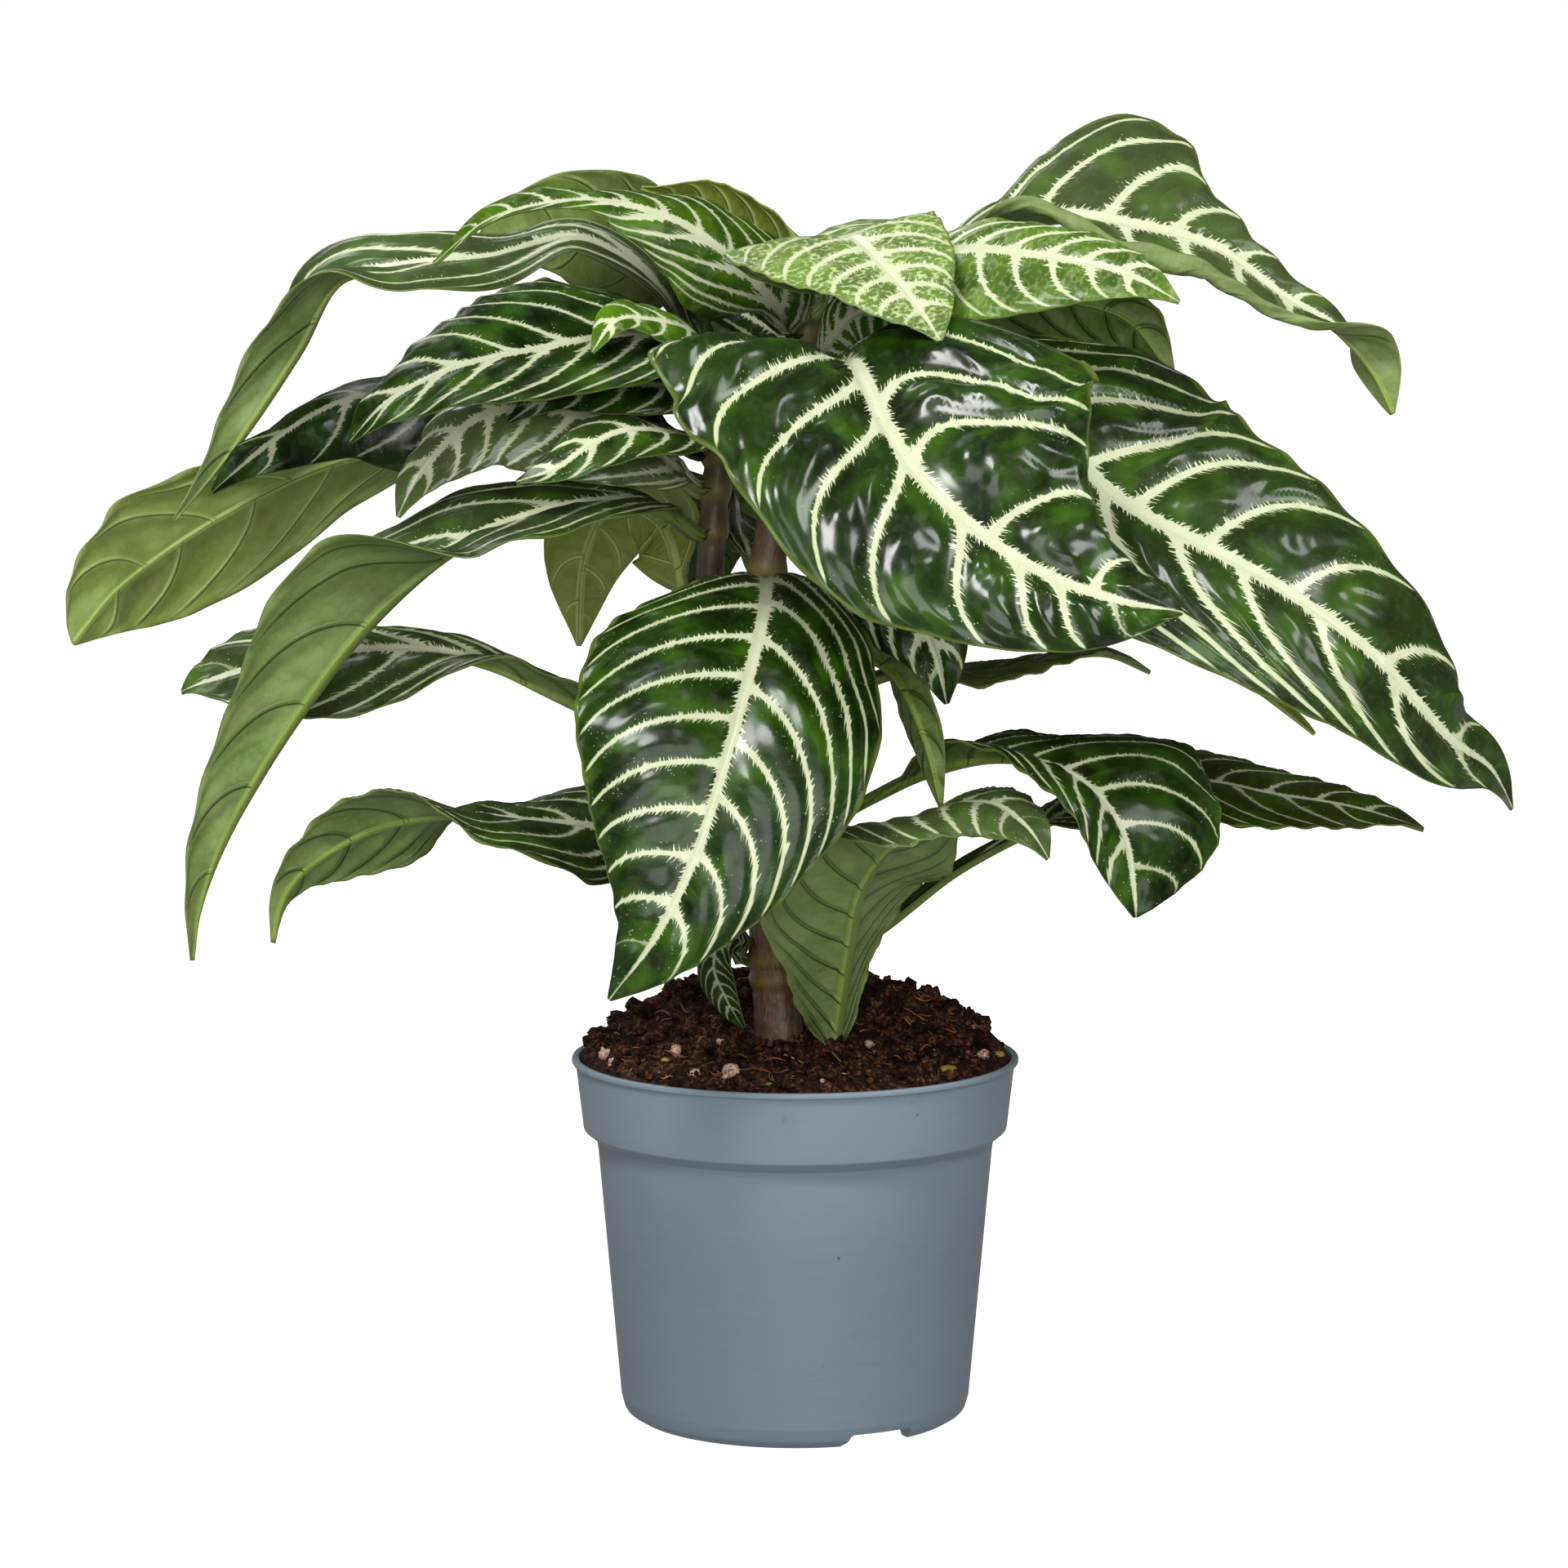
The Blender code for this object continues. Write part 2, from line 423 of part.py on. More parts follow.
def turn(profile, segments):
    """A closed ring-shaped skin: the outline turned once around the Z axis."""
    skin = bmesh.new()
    rows = []
    for spoke in range(segments):
        angle = 2 * math.pi * spoke / segments
        rows.append([skin.verts.new((r * math.cos(angle), r * math.sin(angle), z)) for r, z in profile])
    for row, after in zip(rows, rows[1:] + rows[:1]):
        for i in range(len(profile)):
            j = (i + 1) % len(profile)
            skin.faces.new((row[i], after[i], after[j], row[j]))
    return skin


def rod(name, centre, radius, bottom, top, sides):
    """A plain upright rod, used to cut round holes."""
    rings = []
    for z in (bottom, top):
        rings.append([Vector((centre[0] + radius * math.cos(2 * math.pi * i / sides),
                              centre[1] + radius * math.sin(2 * math.pi * i / sides), z))
                      for i in range(sides)])
    return make_object(name, loft(rings), POT_GREY)


def notch_cutter(bearing):
    """A block with sloping ends that opens the foot at one bearing."""
    reach = Vector((math.cos(bearing), math.sin(bearing), 0))
    along = Vector((-reach.y, reach.x, 0))
    outline = [(-NOTCH_WIDTH / 2 - 1.6, -1.0), (-NOTCH_WIDTH / 2 + 0.6, NOTCH_HEIGHT),
               (NOTCH_WIDTH / 2 - 0.6, NOTCH_HEIGHT), (NOTCH_WIDTH / 2 + 1.6, -1.0)]
    ends = []
    for distance in (FOOT_INNER_RADIUS - 6.0, HEEL_RADIUS + 6.0):
        ends.append([reach * distance + along * x + Vector((0, 0, z)) for x, z in outline])
    return make_object("notch", loft(ends), POT_GREY)


def make_pot():
    """The pot: a turned shell with drain holes in its floor and notches in its foot."""
    pot = make_object("pot", turn(pot_profile(), POT_SEGMENTS), POT_GREY, 35.0)
    for hole in range(DRAIN_HOLES):
        angle = 2 * math.pi * (hole + 0.5) / DRAIN_HOLES
        centre = (DRAIN_RING_RADIUS * math.cos(angle), DRAIN_RING_RADIUS * math.sin(angle))
        cut(pot, rod("drain", centre, DRAIN_HOLE_RADIUS, 1.0, FLOOR_TOP + 3.0, 12))
    for notch in range(NOTCHES):
        cut(pot, notch_cutter(math.radians(NOTCH_BEARING + 360.0 * notch / NOTCHES)))
    return pot


# ---- stems -----------------------------------------------------------------------------------
def stem_at(name, height):
    """A stem's axis point, direction and radius at a height."""
    stem = STEMS[name]
    path = smooth_path(stem.points)
    for a, b in zip(path, path[1:]):
        if b.z >= height:
            break
    point = a.lerp(b, (height - a.z) / (b.z - a.z))
    grown = (height - path[0].z) / (path[-1].z - path[0].z)
    return point, (b - a).normalized(), stem.foot_radius + (stem.tip_radius - stem.foot_radius) * grown


def make_stem(name):
    """A tapering round stem with a blunt bud at its top."""
    stem = STEMS[name]
    path = smooth_path(stem.points)
    rings = []
    stations = 16
    for station in range(stations + 1):
        share = station / stations
        centre, heading = walk(path, share)
        across = heading.cross(Vector((0, 1, 0))).normalized()
        other = heading.cross(across)
        radius = stem.foot_radius + (stem.tip_radius - stem.foot_radius) * share
        radius *= 0.55 if station == stations else 1.0
        rings.append([centre + radius * (across * math.cos(2 * math.pi * i / STEM_SIDES)
                                         + other * math.sin(2 * math.pi * i / STEM_SIDES))
                      for i in range(STEM_SIDES)])
    return make_object(name, loft(rings), STEM_BROWN)


# ---- soil ------------------------------------------------------------------------------------
def soil_height(x, y, wall_radius):
    """The lumpy top of the soil: a low mound that stands higher towards the back."""
    share = min(math.hypot(x, y) / wall_radius, 1.0)
    back = min(max((y + 20.0) / 55.0, 0.0), 1.0)
    rise = SOIL_FRONT_RISE + SOIL_BACK_RISE * back * back * (3 - 2 * back)
    lumps = SOIL_LUMP * noise.noise(Vector((x / 11.0, y / 11.0, 3.7))) * (1 - share ** 6)
    edge = SOIL_EDGE + SOIL_TILT * y / wall_radius
    return edge + rise * (1 - share ** 2) ** 0.6 + lumps


def make_soil(stem, sprout):
    """The soil: it fills the pot, with a pocket for the main stem and one for the buried leaf stalk."""
    skin = bmesh.new()
    inner = [(r - GAP, z) for r, z in ((HEEL_RADIUS - WALL - 3.0, FLOOR_TOP + GAP),
                                       (HEEL_RADIUS - WALL, FLOOR_TOP + 3.8),
                                       (SHOULDER_RADIUS - WALL, SHOULDER),
                                       (BAND_FOOT_RADIUS - WALL - 0.1, BAND_FOOT + 0.2))]
    wall_radius = BAND_TOP_RADIUS - WALL - GAP - 0.1
    rows = []
    for r, z in inner:
        rows.append([Vector((r * math.cos(2 * math.pi * i / SOIL_SPOKES),
                             r * math.sin(2 * math.pi * i / SOIL_SPOKES), z)) for i in range(SOIL_SPOKES)])
    for ring in range(SOIL_RINGS):
        r = wall_radius * (1 - ring / SOIL_RINGS)
        row = []
        for i in range(SOIL_SPOKES):
            x = r * math.cos(2 * math.pi * i / SOIL_SPOKES)
            y = r * math.sin(2 * math.pi * i / SOIL_SPOKES)
            row.append(Vector((x, y, soil_height(x, y, wall_radius))))
        rows.append(row)
    skin.free()
    soil = make_object("soil", loft(rows), SOIL_BROWN)
    for cutter in (stem, sprout):
        cut(soil, cutter)
    return soil


def pocket(name, centre, radius, floor):
    """A rod that cuts a pocket in the soil, from a floor height up through the top."""
    return rod(name, centre, radius, floor, SOIL_EDGE + 40.0, 16)


# ---- leaves ----------------------------------------------------------------------------------
def rib_radius(leaf, share):
    """Thickness of the stalk and midrib below the blade, from the stem to the tip."""
    stalk_radius = 0.8 + 0.04 * leaf.half
    return stalk_radius * (1 - share) ** 0.8 + 0.25


def blade_half_width(leaf, share, side):
    """Distance from the midrib to the left (-1) or right (1) margin, at a share of the leaf's length."""
    wing = rib_radius(leaf, 0.0) + 1.0
    blade = max(share - leaf.stalk, 0.0) / (1 - leaf.stalk)
    peak = math.log(0.5) / math.log(leaf.widest)
    shape = math.sin(math.pi * min(blade, 1.0) ** peak) ** 0.95 if 0 < blade < 1 else 0.0
    full = leaf.half * between(leaf.reach[0 if side < 0 else 1], share)
    return full * shape + (wing * (1 - blade) + 0.8 * blade) * (1 - shape)


def leaf_path(leaf):
    """The midrib's curve, starting on the stem's surface."""
    if leaf.stem is None:
        return smooth_path(leaf.rib)
    axis, heading, radius = stem_at(leaf.stem, leaf.height)
    out = Vector(leaf.rib[0]) - axis
    out = (out - heading * out.dot(heading)).normalized()
    start = axis + out * (radius + GAP)
    return smooth_path([start, start + out * 3.0] + leaf.rib)


def leaf_frame(leaf, path, share):
    """Midrib point, and the directions along the leaf, to its right and out of its upper face."""
    point, heading = walk(path, share)
    face = between([Vector(f).normalized() for f in leaf.face], share)
    face = (face - heading * face.dot(heading)).normalized()
    return point, heading, heading.cross(face), face


def blade_section(leaf, share, side):
    """How one half of the blade runs at a station: its half width, and its lift and roll in radians."""
    width = blade_half_width(leaf, share, side)
    spread = min(max((width - rib_radius(leaf, 0.0) - 1.0) / 8.0, 0.0), 1.0)
    lift = between(leaf.right if side > 0 else leaf.left, share) * spread + 25.0 * (1 - spread)
    roll = leaf.roll[1 if side > 0 else 0] * spread
    return width, math.radians(lift), math.radians(roll)


def blade_point(leaf, path, share, s, offset):
    """A point of the leaf: s runs from -1 at the left margin to 1 at the right one, and offset is the
    distance above the middle of the blade."""
    point, _, right, face = leaf_frame(leaf, path, share)
    side = 1 if s >= 0 else -1
    width, lift, roll = blade_section(leaf, share, side)
    reach = abs(s)
    if abs(roll) < 1e-4:
        out, up = reach * math.cos(lift), reach * math.sin(lift)
    else:
        out = (math.sin(lift) - math.sin(lift - roll * reach)) / roll
        up = (math.cos(lift - roll * reach) - math.cos(lift)) / roll
    slope = lift - roll * reach if reach > 0 else 0.0
    normal = face * math.cos(slope) - right * (side * math.sin(slope))
    return point + right * (side * width * out) + face * (width * up) + normal * offset


def make_leaf(name):
    """A leaf as one closed skin: a thin blade with a stout midrib on its underside."""
    leaf = LEAVES[name]
    path = leaf_path(leaf)
    sections = []
    for station in range(LEAF_STATIONS + 1):
        share = station / LEAF_STATIONS
        rib = rib_radius(leaf, share)
        narrow = min(blade_half_width(leaf, share, -1), blade_half_width(leaf, share, 1))
        keel = min(rib / narrow, 0.36)
        outline = [(s, LEAF_THICK * (0.5 - 0.25 * abs(s))) for s in (-1, -0.5, 0, 0.5, 1)]
        outline += [(s, -LEAF_THICK * (0.5 - 0.25 * abs(s))) for s in (1, 0.5)]
        outline += [(keel, -LEAF_THICK / 2), (0, -LEAF_THICK / 2 - rib), (-keel, -LEAF_THICK / 2)]
        outline += [(s, -LEAF_THICK * (0.5 - 0.25 * abs(s))) for s in (-0.5, -1)]
        sections.append([blade_point(leaf, path, share, s, offset) for s, offset in outline])
    return make_object(name, loft(sections), LEAF_GREEN, 60.0)


# ---- the whole plant -------------------------------------------------------------------------
def main():
    clear_scene()
    make_pot()
    foot = STEMS["stem_main"]
    sprout = LEAVES["leaf_low_front"]
    make_soil(
        pocket("stem_pocket", foot.points[0][:2], foot.foot_radius + GAP + 0.1, foot.points[0][2] - GAP),
        pocket("sprout_pocket", sprout.rib[0][:2], SPROUT_POCKET, sprout.rib[0][2] - GAP),
    )
    for name in STEMS:
        make_stem(name)
    for name in LEAVES:
        make_leaf(name)


main()
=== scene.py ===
# %% [markdown]
# # A potted zebra plant
# The plant is one rigid thing for the physics: a grey nursery pot, the peat in it, three stems and
# thirty-nine leaves. Each cell below makes one of these from its own sizes. The frame gives the place
# of every solid, so each piece is drawn straight where it grows and nothing is moved afterwards.

import math
import random
from dataclasses import dataclass

import bmesh
import bpy
import numpy as np
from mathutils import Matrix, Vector, noise


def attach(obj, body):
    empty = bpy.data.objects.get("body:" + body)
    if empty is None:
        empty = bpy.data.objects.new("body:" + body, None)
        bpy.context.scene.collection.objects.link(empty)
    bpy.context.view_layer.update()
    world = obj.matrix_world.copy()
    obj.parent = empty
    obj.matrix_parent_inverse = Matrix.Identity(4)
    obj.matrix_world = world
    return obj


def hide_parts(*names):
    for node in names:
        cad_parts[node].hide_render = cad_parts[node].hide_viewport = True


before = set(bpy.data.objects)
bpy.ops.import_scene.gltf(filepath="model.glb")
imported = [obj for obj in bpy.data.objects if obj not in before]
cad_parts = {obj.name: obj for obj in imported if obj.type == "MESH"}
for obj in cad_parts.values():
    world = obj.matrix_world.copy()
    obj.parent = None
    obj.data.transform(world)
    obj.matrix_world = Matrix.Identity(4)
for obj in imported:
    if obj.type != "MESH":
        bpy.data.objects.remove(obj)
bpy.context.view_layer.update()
MM = 0.001
BODY = "root"
print("solids in the frame:", len(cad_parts))

# %% [markdown]
# ## Shader sums
# A leaf's stripes are sums over distances on the leaf. Written out as nodes such a sum is hard to read,
# so a small class wraps a socket and lets plain Python arithmetic add the Math nodes. Every other node
# comes from one method, which sets the node's own settings first and its sockets after.

# %% Sums on sockets
class Num:
    """A number that varies over a surface: arithmetic on it adds Math nodes to its material."""

    def __init__(self, paint, socket):
        self.paint = paint
        self.socket = socket

    def sum(self, operation, *others):
        inputs = {i: value for i, value in enumerate((self, *others))}
        return self.paint.node("ShaderNodeMath", {"operation": operation}, inputs).num()

    def __add__(self, other):
        return self.sum("ADD", other)

    def __sub__(self, other):
        return self.sum("SUBTRACT", other)

    def __rsub__(self, other):
        return (self * -1.0) + other

    def __mul__(self, other):
        return self.sum("MULTIPLY", other)

    def __truediv__(self, other):
        return self.sum("DIVIDE", other)

    def __pow__(self, other):
        return self.sum("POWER", other)

    def __abs__(self):
        return self.sum("ABSOLUTE")

    __radd__ = __add__
    __rmul__ = __mul__

    def floor(self):
        return self.sum("FLOOR")

    def at_least(self, other):
        return self.sum("MAXIMUM", other)

    def at_most(self, other):
        return self.sum("MINIMUM", other)

    def step(self, low, high):
        """0 below low, 1 above high, and a smooth rise between them."""
        settings = {"interpolation_type": "SMOOTHSTEP"}
        inputs = {"Value": self, "From Min": low, "From Max": high}
        return self.paint.node("ShaderNodeMapRange", settings, inputs).num("Result")

    def fade(self, low, high):
        """1 below low, 0 above high, and a smooth fall between them."""
        return 1.0 - self.step(low, high)


class Node:
    """A node just made, from which an output is picked."""

    def __init__(self, paint, node):
        self.paint = paint
        self.node = node

    def out(self, name=0):
        return self.node.outputs[name]

    def num(self, name=0):
        return Num(self.paint, self.node.outputs[name])


# A Mix node has sockets of the same name for numbers, vectors and colours, so these count them.
MIX_FACTOR, MIX_LOW, MIX_HIGH, MIX_COLOUR = 0, 6, 7, 2


class Paint:
    """A material being built around one Principled shader."""

    def __init__(self, name, **constants):
        self.material = bpy.data.materials.new(name)
        self.material.use_nodes = True
        self.tree = self.material.node_tree
        self.shader = self.tree.nodes["Principled BSDF"]
        for socket, value in constants.items():
            self.shader.inputs[socket.replace("_", " ")].default_value = value

    def plug(self, socket, value):
        if isinstance(value, Num):
            value = value.socket
        if isinstance(value, bpy.types.NodeSocket):
            self.tree.links.new(value, socket)
        else:
            socket.default_value = value

    def node(self, kind, settings=None, inputs=None):
        made = self.tree.nodes.new(kind)
        for key, value in (settings or {}).items():
            setattr(made, key, value)
        for key, value in (inputs or {}).items():
            self.plug(made.inputs[key], value)
        return Node(self, made)

    def attribute(self, name):
        """The three numbers of a named attribute of the mesh."""
        return self.split(self.node("ShaderNodeAttribute", {"attribute_name": name}).out("Vector"))

    def split(self, socket):
        """The three numbers of a point or a direction."""
        made = self.node("ShaderNodeSeparateXYZ", None, {0: socket})
        return made.num("X"), made.num("Y"), made.num("Z")

    def place(self, *parts):
        """A point from three numbers, each a value or a sum."""
        return self.node("ShaderNodeCombineXYZ", None, dict(enumerate(parts))).out()

    def cloud(self, point, scale, detail=3.0, roughness=0.5):
        """Soft noise, around 0.5."""
        inputs = {"Vector": point, "Scale": scale, "Detail": detail, "Roughness": roughness}
        return self.node("ShaderNodeTexNoise", {"noise_dimensions": "3D"}, inputs).num()

    def cells(self, point, scale):
        """Distance to the nearest of many scattered points, in units of their spacing."""
        return self.node("ShaderNodeTexVoronoi", None, {"Vector": point, "Scale": scale}).num("Distance")

    def mix(self, low, high, factor):
        """The colour low where factor is 0, and high where it is 1."""
        settings = {"data_type": "RGBA", "clamp_factor": True}
        inputs = {MIX_FACTOR: factor, MIX_LOW: low, MIX_HIGH: high}
        return self.node("ShaderNodeMix", settings, inputs).out(MIX_COLOUR)

    def here(self):
        """The place on the piece, in metres."""
        return self.node("ShaderNodeTexCoord").out("Object")

    def bump(self, height, strength=1.0):
        """A normal from a height in metres."""
        inputs = {"Height": height, "Distance": 1.0, "Strength": strength}
        return self.node("ShaderNodeBump", None, inputs).out()

    def finish(self, **sockets):
        for socket, value in sockets.items():
            self.plug(self.shader.inputs[socket.replace("_", " ")], value)
        return self.material


print("sums and paints are ready")

# %% [markdown]
# ## Turning a grid of points into a piece
# Leaves, stems, pot and soil are all rows of points, row after row, so one helper turns rows into a
# mesh object, rides it on the body and says which solid it stands for. Numbers that the shader needs,
# such as the distance from the midrib, are stored on the points as named attributes.

# %% Pieces from points
def make_piece(name, points, faces, stands_for=(), materials=(), slots=None, numbers=None):
    """A smooth mesh piece from points in millimetres."""
    mesh = bpy.data.meshes.new(name)
    mesh.from_pydata((np.asarray(points) * MM).tolist(), [], faces)
    for material in materials:
        mesh.materials.append(material)
    if slots is not None:
        mesh.polygons.foreach_set("material_index", slots)
    for key, values in (numbers or {}).items():
        layer = mesh.attributes.new(key, "FLOAT_VECTOR", "POINT")
        layer.data.foreach_set("vector", np.asarray(values, dtype=np.float32).ravel())
    mesh.shade_smooth()
    mesh.update()
    piece = bpy.data.objects.new("visible_" + name, mesh)
    bpy.context.scene.collection.objects.link(piece)
    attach(piece, BODY)
    if stands_for:
        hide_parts(*stands_for)
    return piece


def ring_faces(rows, count, closed=False):
    """Four-sided faces between rings of points that follow each other."""
    faces = []
    for row in range(rows if closed else rows - 1):
        a, b = row * count, ((row + 1) % rows) * count
        for i in range(count):
            j = (i + 1) % count
            faces.append((a + i, a + j, b + j, b + i))
    return faces


def smooth_path(points, steps=24):
    """Points of a smooth curve through the given ones, a centripetal Catmull-Rom spline."""
    knots = [np.array(point, dtype=float) for point in points]
    knots = [knots[0] * 2 - knots[1]] + knots + [knots[-1] * 2 - knots[-2]]
    path = [knots[1]]
    for before, start, end, after in zip(knots, knots[1:], knots[2:], knots[3:]):
        d0, d1, d2 = (np.linalg.norm(b - a) ** 0.5 for a, b in
                      ((before, start), (start, end), (end, after)))
        leave = d1 * ((start - before) / d0 - (end - before) / (d0 + d1) + (end - start) / d1)
        arrive = d1 * ((end - start) / d1 - (after - start) / (d1 + d2) + (after - end) / d2)
        for step in range(1, steps + 1):
            u = step / steps
            path.append(start * (2 * u ** 3 - 3 * u ** 2 + 1) + leave * (u ** 3 - 2 * u ** 2 + u)
                        + end * (3 * u ** 2 - 2 * u ** 3) + arrive * (u ** 3 - u ** 2))
    return np.array(path)


def unit(vectors):
    """The same directions, each one long."""
    return vectors / np.linalg.norm(vectors, axis=-1, keepdims=True)


def walk(path, shares):
    """Points and directions at shares of a path's length."""
    legs = np.linalg.norm(np.diff(path, axis=0), axis=1)
    run = np.concatenate(([0.0], np.cumsum(legs))) / legs.sum()
    headings = np.gradient(path, run, axis=0)
    point = np.stack([np.interp(shares, run, path[:, k]) for k in range(3)], axis=-1)
    heading = np.stack([np.interp(shares, run, headings[:, k]) for k in range(3)], axis=-1)
    return point, unit(heading), legs.sum()


def between(values, shares):
    """Values read from a list that is evenly spaced from 0 to 1, eased from one to the next."""
    values = np.asarray(values, dtype=float)
    if len(values) == 1:
        return np.repeat(values, len(shares), axis=0)
    place = np.clip(shares, 0.0, 1.0) * (len(values) - 1)
    index = np.minimum(place.astype(int), len(values) - 2)
    u = place - index
    u = u * u * (3 - 2 * u)
    if values.ndim > 1:
        u = u[:, None]
    return values[index] * (1 - u) + values[index + 1] * u


print("helpers for rows of points are ready")

# %% [markdown]
# ## How the plant is laid out
# The leaves are most of the plant. Each one is a path for its midrib, the way its upper face looks
# along that path, and how wide and how folded each half is. The same numbers shaped the solids that
# the physics uses, so a leaf drawn from them lies exactly where its solid lies. Lengths are in
# millimetres, and -Y is the front.

# %% Stems
GAP = 0.3
STEM_GROWS = {
    "stem_main": ([(-5, -8, 100), (-5, -8, 125), (-7, -8, 155), (-9, -5, 200), (-10, 0, 250),
                   (-4, 3, 300), (5, 4, 350)], 8.0, 4.0),
    "stem_left": ([(-15.2, 0.6, 156), (-21, 3.8, 169), (-26, 6, 200), (-27, 5, 255), (-24, 4, 300),
                   (-21, 2, 341)], 5.0, 3.6),
    "stem_right": ([(0, 1, 168), (7, 6, 186), (9, 9, 215), (10, 10, 250), (17, 11, 300),
                    (27, 9, 345)], 5.0, 3.6),
}
print("stems:", *STEM_GROWS)

# %% [markdown]
# ## What describes a leaf
# Every leaf is the same kind of thing, so a small record holds what differs from one to the next. It
# reads in the order in which the leaf grows: the stem, the midrib, which way the face looks, and then
# the two halves of the blade.

# %% A leaf's record
@dataclass
class Leaf:
    """One leaf, described along its midrib from the stalk to the tip.

    stem, height: where it grows from, or None for a leaf that comes up through the soil
    rib:          points that the midrib passes through
    face:         directions that the upper face looks in, evenly spaced along the leaf
    half:         greatest width from the midrib to the margin
    left, right:  degrees that each half is lifted from flat, evenly spaced along the leaf; left and
                  right are as seen from above with the tip pointing away
    roll:         degrees that a half rolls down between the midrib and its margin, left and right
    stalk:        share of the length that is the narrow stalk
    widest:       where the blade is widest, as a share of its length
    reach:        how much wider than its plain outline each half is, evenly spaced along the leaf
    """
    stem: str
    height: float
    rib: list
    face: list
    half: float
    left: tuple = (8,)
    right: tuple = (8,)
    roll: tuple = (28, 28)
    stalk: float = 0.08
    widest: float = 0.42
    reach: tuple = ((1,), (1,))


print("a leaf is described by:", *Leaf.__dataclass_fields__)

